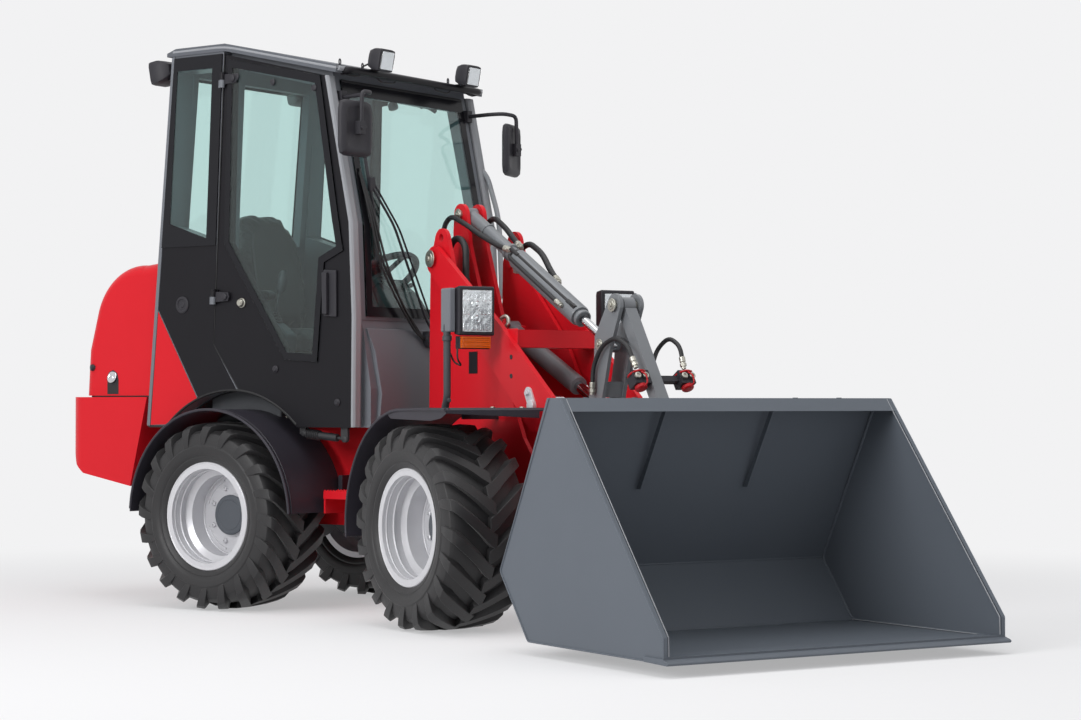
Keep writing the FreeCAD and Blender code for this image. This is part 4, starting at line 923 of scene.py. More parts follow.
@dataclass
class Cab:
    """The cab's dressing: corner trims, painted panels, printed borders, seals and fittings."""

    skin: float = 465
    pane: float = 471.2
    frit: float = 1

    def border(self, stock: Stock, outer: Sequence[Point], inner: Sequence[Point],
               lift: Point) -> None:
        """Adds a flat ring between two outlines.

        Args:
            stock: the stock it goes in.
            outer: its outer outline.
            inner: its inner outline, with as many points.
            lift: its thickness, as a step off the surface.
        """
        rings = []
        for one, two in zip(outer, inner):
            high = [tuple(a + b for a, b in zip(p, lift)) for p in (one, two)]
            rings.append([one, high[0], high[1], two])
        stock.loops(rings, ends_meet=True)

    def quarter(self, side: str, sign: float) -> None:
        """Builds the quarter's black panel, its red corner and the side window's border.

        Args:
            side: its side's name.
            sign: 1 on the left and -1 on the right.
        """
        y0, y1 = sign * (self.skin + 0.2), sign * (self.skin + 2.2)
        curve = [(x, z) for x, _, z in arc((-AXLE, HUB), 490.5, 85.9, 110.5, 0, 9)]
        black = Stock()
        black.plate(Plane.SIDE, [(rear_x(1186) + 16, 1186), (rear_x(1505) + 16, 1505),
                                 (-1083, 1505), (-1083, 1500), (-847, 1438), (-811, 1438),
                                 (-827, 1042), *curve], y0, y1)
        black.piece("quarter_panel_" + side, BLACK, bevel=0.7)
        curve = [(x, z) for x, _, z in arc((-AXLE, HUB), 490.5, 111.2, 133.5, 0, 8)]
        red = Stock()
        red.plate(Plane.SIDE, [(rear_x(1178) + 16, 1178), *curve, (rear_x(721) + 16, 721)], y0, y1)
        red.piece("quarter_corner_" + side, RED, bevel=0.7)
        ring = Stock()
        base, lift = sign * 465.2, (0, sign * (self.pane - 465.2 + self.frit), 0)
        outer = [(rear_x(1436) + 14, base, 1436), (rear_x(2196) + 14, base, 2196),
                 (-779, base, 2196), (-812, base, 1436)]
        inner = [(-1060, base, 1530), (-1020, base, 2143), (-831, base, 2143), (-862, base, 1466)]
        self.border(ring, outer, inner, lift)
        ring.piece("side_window_border_" + side, FRIT, bevel=0.4)
        vent = Stock()
        vent.turned((-993, sign * 467, 1203), (0, sign, 0),
                    [(0, 34), (3, 34), (6, 30), (6, 24), (2.5, 22), (2.5, 12), (5, 10), (5, 1)], 40)
        vent.piece("quarter_vent_" + side, PLASTIC, bevel=0.5)

    def door(self, side: str, sign: float) -> None:
        """Builds a door's printed border, its pull, its lock and its hinges.

        Args:
            side: its side's name.
            sign: 1 on the left and -1 on the right.
        """
        body = "door_%s_body" % side
        base, lift = sign * (self.pane + 0.1), (0, sign * self.frit, 0)
        pane = [(-451, 979), (-286, 967), (-251, 1350), (-157, 1391.5), (-181, 1520), (-273, 2072),
                (-747, 2171), (-766, 1437)]
        hole = [(-438, 1006), (-309, 997), (-277, 1369), (-190, 1410), (-212, 1520), (-297, 2044),
                (-724, 2136), (-740, 1447)]
        ring = Stock()
        self.border(ring, [(x, base, z) for x, z in pane], [(x, base, z) for x, z in hole], lift)
        ring.piece("door_glass_border_" + side, FRIT, body, bevel=0.3)
        pull = Stock()
        pull.plate(Plane.SIDE, [(-252, 1322), (-188, 1318), (-186, 1138), (-250, 1142)], sign * 465,
                   sign * 476)
        pull.plate(Plane.SIDE, [(-246, 1312), (-222, 1310), (-220, 1148), (-244, 1150)], sign * 474,
                   sign * 494)
        pull.piece("door_pull_" + side, PLASTIC, body, bevel=5)
        lock = Stock()
        lock.turned((-676, sign * 465, 1204), (0, sign, 0),
                    [(0, 19), (4, 19), (6, 16), (14, 15), (18, 12), (18, 1)], 32)
        lock.turned((-676, sign * 480, 1204), (0, sign, 0), [(0, 8), (4, 8), (4, 1)], 20)
        lock.piece("door_lock_" + side, ZINC, body, bevel=0.5)
        hinge = Stock()
        for x, z in ((-766, 2092), (-806, 1230)):
            hinge.plate(Plane.SIDE, [(x - 8, z - 21), (x + 66, z - 17), (x + 72, z),
                                     (x + 66, z + 17), (x - 8, z + 21)], sign * 471, sign * 479)
            hinge.turned((x + 50, sign * 478, z), (0, sign, 0), [(0, 15), (7, 14), (9, 11), (9, 1)],
                         24)
        hinge.piece("door_hinge_plates_" + side, PLASTIC, body, bevel=1.5)
        for x, z, top in ((-300, 2045, "front"), (-700, 2118, "rear")):
            cap = Stock()
            cap.turned((x, sign * 471, z - 20), (0, sign, 0), [(0, 13), (4, 13), (6, 10), (6, 1)],
                       24)
            cap.piece("glass_fixing_%s_%s" % (top, side), PLASTIC, body, bevel=0.5)
        knobs = Stock()
        for x, z in ((-500, 942), (-187, 812)):
            knobs.turned((x, sign * 464.8, z), (0, sign, 0),
                         [(0, 14), (4, 14), (6, 10), (9, 8), (9, 1)], 24)
        knobs.turned((-512, sign * 471, 2062), (0, sign, 0), [(0, 13), (4, 13), (6, 10), (6, 1)],
                     24)
        knobs.piece("door_buffers_" + side, PLASTIC, body, bevel=0.6)
        seal = Stock().tube([(-828, sign * SEAM, 1042), (-774, sign * SEAM, 2196)], 3.4, sides=8)
        seal.tube([(-692, sign * SEAM, 858), (-828, sign * SEAM, 1042)], 3.4, sides=8)
        seal.piece("door_seal_" + side, SEAL_AND_SHADE)

    def pillars(self, side: str, sign: float) -> None:
        """Builds the pale trim down the front pillar and the grey edge of the rear one.

        Args:
            side: its side's name.
            sign: 1 on the left and -1 on the right.
        """
        rings = []
        for level in (717, 900, 1141, 1320, 1500, 1690, 1880, 2030, 2070):
            x = front_x(level)
            rings.append([(x - 3, sign * 424, level), (x + 9, sign * 424, level),
                          (x + 16, sign * 436, level), (x + 14, sign * 462, level),
                          (x + 7, sign * 470, level), (x - 3, sign * 470, level)])
        Stock().loops(rings).piece("pillar_trim_" + side, TRIM_AND_HIGHLIGHT_GREY, bevel=2.5, angle=20)
        edge = Stock()
        rings = []
        for level in (718, 1200, 1700, 2203):
            x = rear_x(level)
            rings.append([(x - 3, sign * 440, level), (x - 3, sign * 469, level),
                          (x + 14, sign * 469, level), (x + 14, sign * 465, level),
                          (x + 1, sign * 440, level)])
        edge.loops(rings).piece("rear_pillar_edge_" + side, CAB_GREY, bevel=1.5)

    def screens(self) -> None:
        """Builds the printed borders of the windscreen and the rear window."""
        for name, line, off, step, panes in (
                ("windscreen_border", front_x, 6.3, self.frit, (
                    ((387, 1142), (387, 1500), (387, 2058)),
                    ((352, 1180), (352, 1500), (352, 2004)))),
                ("rear_window_border", rear_x, -6.4, -self.frit, (
                    ((377, 1451), (377, 2149)), ((340, 1486), (340, 2120))))):
            outer, inner = ([(line(z) + off, -y, z) for y, z in pane]
                            + [(line(z) + off, y, z) for y, z in reversed(pane)] for pane in panes)
            stock = Stock()
            self.border(stock, outer, inner, (step, 0, 0))
            stock.piece(name, FRIT, bevel=0.3)

    def front_panel(self) -> None:
        """Builds the faceted lower front panel with the wiper motor in its recess."""
        panel = Stock()
        rings = []
        for level, depth, half in (
                (722, -71.5, 396), (748, -58, 368), (846, -54, 360), (1010, -78, 372),
                (1096, -102, 392)):
            rings.append([(-112, -half, level), (depth, -half, level),
                          (depth + 6, -half * 0.45, level), (depth + 6, half * 0.45, level),
                          (depth, half, level), (-112, half, level)])
        panel.loops(rings).piece("front_panel", CAB_GREY, bevel=3, angle=15)
        motor = Stock()
        motor.plate(Plane.FACE, [(-62, 1030), (44, 1030), (52, 1060), (38, 1092), (-54, 1092),
                                 (-70, 1060)], -96, -58)
        motor.turned((-60, -8, 1060), (1, 0, 0.15), [(0, 19), (10, 18), (14, 11), (22, 9), (22, 1)],
                     24)
        motor.piece("wiper_motor_cover", PLASTIC, bevel=5)

    def wiper(self) -> None:
        """Builds the wiper: two parallel arms, the blade, and its washer hose."""
        def on_glass(across: float, level: float, off: float) -> Point:
            """Returns a point at a distance ahead of the windscreen."""
            return (front_x(level) + off, across, level)

        arms = Stock()
        arms.tube([on_glass(-12, 1064, 52), on_glass(-60, 1140, 36), on_glass(-232, 1500, 30),
                   on_glass(-318, 1640, 24)], 5, 40)
        arms.tube([on_glass(16, 1072, 50), on_glass(-30, 1150, 36), on_glass(-200, 1490, 30),
                   on_glass(-312, 1668, 24)], 4, 40)
        arms.block((front_x(1655) + 14, -336, 1628), (front_x(1655) + 30, -306, 1682))
        blade = [(z, on_glass(-326, z, 10)) for z in range(1360, 1961, 60)]
        arms.loops([[(p[0] - 2, p[1] - 2, z), (p[0] + 3, p[1] - 6, z), (p[0] + 12, p[1] - 3, z),
                     (p[0] + 12, p[1] + 3, z), (p[0] + 3, p[1] + 6, z), (p[0] - 2, p[1] + 2, z)]
                    for z, p in blade])
        arms.piece("wiper", PLASTIC, bevel=0.8)
        hoses = Stock()
        for shift, drop in ((0, 0), (12, 16), (25, -10)):
            hoses.tube([on_glass(-372 + shift * 0.4, 1700 + drop, 12),
                        on_glass(-366 + shift, 1540, 26),
                        on_glass(-330 + shift, 1340, 34 + shift * 0.5),
                        on_glass(-236 + shift, 1200 + drop, 40),
                        on_glass(-120 + shift, 1085, 34),
                        on_glass(-58, 1050 + drop * 0.5, 38)], 4.6, 60, 10)
        hoses.piece("wiper_washer_lines", HOSE)

    def roof(self) -> None:
        """Builds the roof's rolled edges and the black header behind the windscreen's top."""
        edge = Stock()
        for sign in SIGNS:
            edge.tube([(-1046, sign * SEAM, 2222), (-765, sign * SEAM, 2222.5),
                       (-192, sign * SEAM, 2095)], 10, 60, 16)
        edge.tube([(-192, -460, 2095), (-192, 460, 2095)], 10, 10, 16)
        edge.tube([(-1046, -460, 2222), (-1046, 460, 2222)], 10, 10, 16)
        edge.piece("roof_edge", TRIM_AND_HIGHLIGHT_GREY)
        bar = Stock()
        bar.plate(Plane.FACE, [(-380, 2020), (380, 2020), (384, 2062), (-384, 2062)], -262, -236)
        bar.piece("windscreen_header", BLACK, bevel=2)

    def rail(self) -> None:
        """Builds the bent grab rail ahead of the left pillar."""
        rail = Stock()
        rail.tube([(-200, 452, 1792), (-150, 452, 1740), (-92, 452, 1566), (-78, 452, 1260),
                   (-108, 452, 1205)], 10.5, 60, 16)
        rail.piece("grab_rail", TRIM_AND_HIGHLIGHT_GREY)

    def build(self) -> None:
        """Builds every piece of the cab's dressing."""
        for side, sign in SIDES:
            self.quarter(side, sign)
            self.door(side, sign)
            self.pillars(side, sign)
        self.screens()
        self.front_panel()
        self.wiper()
        self.roof()
        self.rail()


# ---------------------------------------------------------------- lamps and mirrors


@dataclass
class RoofLamps:
    """The work lamps: two on a tube ahead of the roof, and two on the rear pillars."""

    lean: float = 0.2

    def lamp(self, name: str, at: Point, way: float, size: float) -> None:
        """Builds one lamp: a ribbed housing, a bright reflector and a fluted lens.

        Args:
            name: the lamp's name.
            at: the middle of its front face.
            way: 1 when it faces ahead and -1 when it faces back.
            size: its scale.
        """
        x, y, z = at
        body = Stock()
        rings = []

        def put(depth: float, across: float, up: float) -> Point:
            """Returns a point from its place on the lamp, which leans down a little."""
            return (x + way * size * (depth + self.lean * up), y + size * across,
                    z + size * (up - self.lean * depth))

        for depth, wide, high in (
                (0, 39, 36), (-8, 40, 37), (-30, 39, 36), (-52, 30, 28), (-64, 17, 17)):
            rings.append([put(depth, *spot) for spot in rounded(wide, high, 9, 24)])
        body.loops(rings).piece(name + "_housing", PLASTIC, bevel=2, angle=30)
        for part, wide, high, depths, finish, bevel in (
                ("_reflector", 31, 28, (-0.5, 1.2), REFLECTOR, 0.5),
                ("_lens", 32, 29, (1.6, 4.5), CLEAR_LENS, 1.2)):
            flat = Stock().loops([[put(depth, -wide, -high), put(depth, wide, -high),
                                   put(depth, wide, high), put(depth, -wide, high)]
                                  for depth in depths])
            flat.piece(name + part, finish, bevel=bevel)

    def build(self) -> None:
        """Builds the tube, the brackets, the wiring and the lamps."""
        bar = Stock()
        bar.tube([(-206, -420, 2088), (-170, -420, 2090), (-168, -380, 2090), (-168, 380, 2090),
                  (-170, 420, 2090), (-206, 420, 2088)], 14, 26, 18)
        for sign in SIGNS:
            bar.block((-180, sign * 280 - 18, 2100), (-150, sign * 280 + 18, 2106))
            bar.rod((-164, sign * 280, 2098), (-160, sign * 280, 2118), 8)
            bar.block((-1108, sign * 421 - 14, 2118), (-1066, sign * 421 + 14, 2152))
        made = bar.piece("lamp_bar", BLACK, slot="black_plastic", bevel=0.8)
        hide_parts("work_lights")
        eyes = Stock()
        ring = bead_section(2.6, 11, 8)
        for x, y, z in (
                (-168, -340, 2112), (-168, -205, 2112), (-168, 205, 2112), (-168, 330, 2112),
                (-215, -420, 2124)):
            eyes.turned((x, y, z), (1, 0.4, 0), ring, 24, closed=True)
            eyes.rod((x, y, z - 20), (x, y, z - 9), 6, 12)
        eyes.piece("roof_eyes", PLASTIC)
        wires = Stock()
        for sign in SIGNS:
            wires.tube([(-176, sign * 292, 2128), (-196, sign * 316, 2112),
                        (-176, sign * 342, 2074), (-176, sign * 388, 2070),
                        (-206, sign * 404, 2080)], 3.4, 20, 8)
            wires.tube([(-180, sign * 118, 2106), (-176, sign * 128, 2068),
                        (-176, sign * 215, 2062), (-186, sign * 262, 2098)], 3, 24, 8)
        wires.piece("lamp_wires", HOSE)
        for side, sign in SIDES:
            self.lamp("front_lamp_" + side, (-96, sign * 280, 2134), 1, 1.18)
            self.lamp("rear_lamp_" + side, (-1176, sign * 421, 2146), -1, 1.3)


@dataclass
class Mirrors:
    """The outside mirrors: a bent tube, a clamp, a rounded shell and its glass."""

    middle: float = 505
    level: float = 1850

    def shell(self, sign: float, turn: float) -> tuple[list[list[Point]], list[list[Point]]]:
        """Returns the rings of a mirror's shell and of its glass.

        Args:
            sign: 1 on the left and -1 on the right.
            turn: how far it is turned in about its drop bar, in degrees.

        Returns:
            The shell's rings and the glass's rings.
        """
        angle = math.radians(turn) * sign

        def put(depth: float, across: float, up: float) -> Point:
            """Returns a point from its place on the turned mirror."""
            x = depth * math.cos(angle) - across * math.sin(angle)
            y = depth * math.sin(angle) + across * math.cos(angle)
            return (-68 + x, sign * self.middle + y, self.level + up)

        def ring(depth: float, wide: float, high: float) -> list[Point]:
            """Returns one ring of the shell, from half its width and half its height."""
            return [put(depth, *spot) for spot in rounded(wide, high, 8, 32)]

        shell = [ring(-9, 86, 105), ring(-6, 88, 107), ring(4, 87, 106), ring(12, 81, 100),
                 ring(15, 70, 88), ring(15.5, 60, 78), ring(13.5, 57, 75), ring(13.5, 20, 30)]
        glass = [ring(-12, 80, 99), ring(-9.5, 81, 100)]
        return shell, glass

    def build(self) -> None:
        """Builds both mirrors."""
        arm = Stock()
        for sign in SIGNS:
            arm.tube([(-214, sign * 404, 1990), (-100, sign * 404, 1992), (-52, sign * 430, 1994),
                      (-40, sign * 500, 1990), (-40, sign * self.middle, 1840)], 8, 24, 14)
            arm.block((-56, sign * self.middle - 17, 1826), (-30, sign * self.middle + 17, 1876))
            arm.bolt((-30, sign * self.middle - 8, 1850), (1, 0, 0), 7)
            arm.bolt((-54, sign * self.middle + 42, 1858), (1, 0, 0), 7)
            arm.block((-232, sign * 404 - 16, 1966), (-206, sign * 404 + 16, 2014))
        made = arm.piece("mirror_arms", PLASTIC, bevel=2)
        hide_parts("mirrors")
        for side, sign in SIDES:
            rings, glass = self.shell(sign, 4 if sign < 0 else 16)
            Stock().loops(rings).piece("mirror_shell_" + side, PLASTIC, bevel=1.5, angle=40)
            Stock().loops(glass).piece("mirror_glass_" + side, MIRROR, bevel=0.5)


@dataclass
class Headlamps:
    """The headlamps on their bent posts, with an amber flasher under each."""

    low: float = 1055
    high: float = 1232
    face: float = 726

    def build(self) -> None:
        """Builds each post, housing, cover, reflector, lens and flasher."""
        posts = Stock(Half.FRONT)
        for sign in SIGNS:
            posts.tube([(640, sign * 392, 792), (666, sign * 398, 830), (668, sign * 400, 1095),
                        (676, sign * 388, 1128), (680, sign * 340, 1140)], 13.5, 30, 18)
            posts.turned((668, sign * 400, 1034), (0, 0, 1), [(0, 14), (2, 17), (18, 17), (20, 14)],
                         24)
            posts.bolt((682, sign * 400, 820), (1, 0, 0), 8)
        made = posts.piece("headlamp_posts", GREY_PLASTIC)
        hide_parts("headlights")
        for side, sign in SIDES:
            self.lamp(side, sign)

    def lamp(self, side: str, sign: float) -> None:
        """Builds one lamp.

        Args:
            side: its side's name.
            sign: 1 on the left and -1 on the right.
        """
        y0, y1 = sorted((sign * 233, sign * 383))
        low, high, face = self.low, self.high, self.face

        def rings(*steps: Flat) -> list[list[Point]]:
            """Returns the lamp's outline at each distance off its face, set in by each step."""
            return [[(face + off, y0 + inset, low + inset), (face + off, y1 - inset, low + inset),
                     (face + off, y1 - inset, high - inset), (face + off, y0 + inset, high - inset)]
                    for off, inset in steps]

        shell = Stock(Half.FRONT).loops(rings((0, 0), (-8, -1), (-40, 3), (-60, 14)))
        shell.piece("headlamp_housing_" + side, PLASTIC, bevel=6)
        bowl = Stock(Half.FRONT).loops(rings((0.5, 15), (1.5, 14), (1.2, 26), (0.6, 40)))
        for number in range(7):
            y = y0 + 22 + number * 17.6
            for z in (low + 18, low + 74, low + 124):
                bowl.loops([[(face + off, y - wide, z + rim), (face + off, y + wide, z + rim),
                             (face + off, y + wide, z + 26 - rim),
                             (face + off, y - wide, z + 26 - rim)]
                            for off, wide, rim in ((-0.5, 6.5, 0), (2.5, 4.5, 2))])
        for x, z in ((sign * 308, low + 60), (sign * 308, high - 64)):
            bowl.turned((face + 0.4, x, z), (1, 0, 0), [(0, 24), (2.4, 22), (2.8, 12), (0.8, 9),
                                                        (3.2, 6), (3.2, 1)], 32)
        bowl.piece("headlamp_reflector_" + side, REFLECTOR, bevel=0.4)
        lens = Stock(Half.FRONT)
        lens.plate(Plane.FACE, [(y0 + 13, low + 13), (y1 - 13, low + 13), (y1 - 13, high - 13),
                                (y0 + 13, high - 13)], face + 4.2, face + 7.2)
        lens.piece("headlamp_lens_" + side, CLEAR_LENS, bevel=1.5)
        flasher = Stock(Half.FRONT)
        a, b = sorted((sign * 243, sign * 370))
        flasher.plate(Plane.FACE, [(a, 1006), (b, 1006), (b, 1052), (a, 1052)], 676, 708)
        flasher.piece("flasher_base_" + side, PLASTIC, bevel=3)
        glow = Stock(Half.FRONT)
        for number in range(6):
            z = 1009 + number * 7
            glow.plate(Plane.FACE, [(a + 3, z), (b - 3, z), (b - 3, z + 6.6), (a + 3, z + 6.6)],
                       706, 719.5 + (number % 2) * 1.2)
        glow.piece("flasher_lens_" + side, AMBER_LENS, bevel=1.2)
        cover = Stock(Half.FRONT)
        c, d = sorted((sign * 384, sign * 412))
        cover.plate(Plane.FACE, [(c, 1066), (d, 1066), (d, 1226), (c, 1226)], 640, 706)
        cover.piece("headlamp_cover_" + side, CAB_GREY, bevel=7)
        wire = Stock(Half.FRONT)
        wire.tube([(700, sign * 375, 1008), (704, sign * 378, 968), (694, sign * 352, 944),
                   (672, sign * 372, 956), (668, sign * 386, 990)], 3.4, 24, 8)
        wire.piece("headlamp_wire_" + side, HOSE)


# ---------------------------------------------------------------- seat and controls


@dataclass
class Seat:
    """The driver's seat: a filled cushion and back with piped seams, on a bellows base."""

    voxel: float = 0.006
    pressure: float = 4
    swell: float = 0.022
    folds: int = 13
    fold: float = 19

    def pad(self, name: str, node: str, rings: Sequence[Sequence[Point]],
            still: float) -> None:
        """Builds a filled pad.

        Args:
            name: the pad's name.
            node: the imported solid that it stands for.
            rings: its cover before it is filled.
            still: the level under which it rests on something and stays, in metres.
        """
        made = Stock().loops(rings).piece(name, SEAT)
        mesh = made.data
        stock = bmesh.new()
        stock.from_mesh(mesh)
        bmesh.ops.bevel(stock, geom=stock.edges[:], offset=0.026, segments=4, profile=0.6,
                        affect="EDGES", clamp_overlap=True)
        stock.to_mesh(mesh)
        stock.free()
        remesh = made.modifiers.new("cover", "REMESH")
        remesh.mode, remesh.voxel_size = "VOXEL", self.voxel
        self.bake(made)
        self.swell_out(made, still)
        made.data.polygons.foreach_set("use_smooth", [True] * len(made.data.polygons))
        smooth = made.modifiers.new("surface", "SUBSURF")
        smooth.levels = smooth.render_levels = 1
        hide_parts(node)

    def bake(self, made: bpy.types.Object) -> None:
        """Applies a piece's modifiers to its mesh.

        Args:
            made: the piece.
        """
        graph = bpy.context.evaluated_depsgraph_get()
        graph.update()
        mesh = bpy.data.meshes.new_from_object(made.evaluated_get(graph))
        made.modifiers.clear()
        made.data = mesh

    def swell_out(self, made: bpy.types.Object, still: float) -> None:
        """Fills a pad: its cover is blown up a little, as the foam does.

        Args:
            made: the pad.
            still: the level under which nothing moves, in metres.
        """
        start = [vertex.co.copy() for vertex in made.data.vertices]
        cloth = made.modifiers.new("filling", "CLOTH")
        cloth.settings.quality = 4
        cloth.settings.use_pressure = True
        cloth.settings.uniform_pressure_force = self.pressure
        cloth.settings.effector_weights.gravity = 0
        cloth.point_cache.frame_start, cloth.point_cache.frame_end = 1, 20
        for frame in range(1, 21):
            bpy.context.scene.frame_set(frame)
        self.bake(made)
        bpy.context.scene.frame_set(1)
        for vertex, before in zip(made.data.vertices, start):
            move = vertex.co - before
            if move.length > self.swell:
                move *= self.swell / move.length
            ease = min(max((before.z - still) / 0.02, 0), 1)
            vertex.co = before + move * ease

    def block(self, side: Sequence[Flat], half: float) -> list[list[Point]]:
        """Returns rings across a side outline, pulled in a little at both ends.

        Args:
            side: the side outline's points.
            half: half the width.

        Returns:
            The rings.
        """
        mid = (sum(p[0] for p in side) / len(side), sum(p[1] for p in side) / len(side))
        return [[(mid[0] + (x - mid[0]) * keep, across, mid[1] + (z - mid[1]) * keep)
                 for x, z in side] for across, keep in ((-half, 0.9), (-half * 0.93, 0.985),
                                                        (-half * 0.4, 1), (half * 0.4, 1),
                                                        (half * 0.93, 0.985), (half, 0.9))]

    def build(self) -> None:
        """Builds the cushion, the back, their piping, the bellows and the arm rest."""
        self.pad("seat_cushion_pad", "seat_cushion", self.block(
            [(-1000, 1014), (-596, 1014), (-578, 1088), (-700, 1092),
             (-1000, 1080)], 222), 1.018)
        back = []
        for level, half, front, rear in (
                (1106, 190, -914, -1000), (1180, 206, -906, -1004), (1300, 212, -912, -1008),
                (1400, 208, -930, -1014), (1480, 192, -946, -1020), (1545, 160, -958, -1024),
                (1588, 112, -966, -1026), (1604, 60, -972, -1022)):
            swell = 16 if 1150 < level < 1500 else 4
            back.append([(rear, -half * 0.9, level), (front - 10, -half, level),
                         (front + swell, -half * 0.86, level), (front - 2, -half * 0.6, level),
                         (front - 4, 0, level), (front - 2, half * 0.6, level),
                         (front + swell, half * 0.86, level), (front - 10, half, level),
                         (rear, half * 0.9, level)])
        self.pad("seat_back_pad", "seat_back", back, 1.06)
        piping = Stock()
        for sign in SIGNS:
            piping.tube([(-985, sign * 236, 1052), (-800, sign * 238, 1056),
                         (-610, sign * 236, 1058), (-584, sign * 205, 1060)], 3.4, 30, 8)
        piping.tube([(-584, -205, 1060), (-580, 0, 1062), (-584, 205, 1060)], 3.4, 30, 8)
        piping.piece("seat_piping", SEAL_AND_SHADE, slot="seat_cloth")
        bellows = Stock()
        rings = []
        for number in range(self.folds):
            level, grow = 760 + number * self.fold, 10 if number % 2 else -4
            rings.append([(-1022 - grow, -224 - grow, level), (-660 + grow, -224 - grow, level),
                          (-660 + grow, 224 + grow, level), (-1022 - grow, 224 + grow, level)])
        bellows.loops(rings).block((-1052, -236, 990), (-604, 236, 1011))
        bellows.piece("seat_bellows", SEAL_AND_SHADE, bevel=3)
        rest = Stock()
        rest.plate(Plane.SIDE, [(-940, 1248), (-700, 1262), (-672, 1244), (-690, 1222),
                                (-940, 1208)], -300, -246)
        rest.plate(Plane.SIDE, [(-958, 1120), (-925, 1120), (-905, 1225), (-945, 1230)], -262, -240)
        rest.piece("arm_rest", SEAT, bevel=12)


@dataclass
class Controls:
    """The driver's console, its lever, the dash pod and the column's stalks."""

    def build(self) -> None:
        """Builds the console with its lever, the pod, the stalks and the wheel's boss."""
        console = Stock()
        console.plate(Plane.SIDE, [(-930, 732), (-560, 732), (-520, 1080), (-590, 1130),
                                   (-900, 1120)], -372, -304)
        console.piece("side_console", GREY_PLASTIC, bevel=12)
        lever = Stock()
        for number in range(5):
            lever.turned((-610, -338, 1118 + number * 11), (0.12, 0, 1),
                         [(0, 30 - number * 4), (5, 33 - number * 4), (10, 29 - number * 4)], 24)
        lever.tube([(-606, -338, 1160), (-596, -338, 1225), (-588, -332, 1262)], 7, 30, 12)
        lever.turned((-590, -332, 1250), (0.15, 0.1, 1),
                     [(0, 13), (12, 19), (40, 22), (66, 21), (82, 15), (88, 4)], 24)
        lever.piece("control_lever", PLASTIC, bevel=0.5)
        pod = Stock()
        pod.plate(Plane.SIDE, [(-158, 1098), (-158, 1150), (-232, 1246), (-300, 1296), (-330, 1262),
                               (-250, 1098)], -96, 96)
        pod.piece("dash_pod", PLASTIC, bevel=14)
        face = Stock()
        face.loops([[(-238, y, 1252), (-296, y, 1298.5), (-300, y, 1294), (-242, y, 1247)]
                    for y in (-70, 70)])
        face.piece("dash_display", FRIT, slot="black_plastic", bevel=1.5)
        stalks = Stock()
        for sign in SIGNS:
            stalks.tube([(-322, sign * 40, 1262), (-330, sign * 110, 1272),
                         (-330, sign * 150, 1284)], 5, 30, 10)
            stalks.turned((-330, sign * 140, 1280), (0, sign, 0.3),
                          [(0, 5), (4, 9), (30, 10), (36, 6)], 16)
        stalks.piece("column_stalks", PLASTIC)
        bar = Stock()
        bar.tube([(-282, -330, 1990), (-292, -290, 2032), (-296, 0, 2024), (-296, 240, 2018),
                  (-284, 270, 2002)], 9, 30, 12)
        bar.turned((-280, -20, 2010), (0.3, 0, -1), [(0, 14), (10, 20), (26, 20), (30, 14),
                                                     (30, 1)], 24)
        bar.piece("visor_bar", GREY_PLASTIC)
        boot = Stock()
        boot.turned((-362, 0, 1285), (-0.57, 0, 0.82), [(-34, 42), (-24, 46), (-14, 44), (6, 40),
                                                        (20, 30), (27, 12), (27, 1)], 32)
        boot.piece("wheel_boss", PLASTIC, "steering_wheel_body", bevel=1)


# ---------------------------------------------------------------- rear body


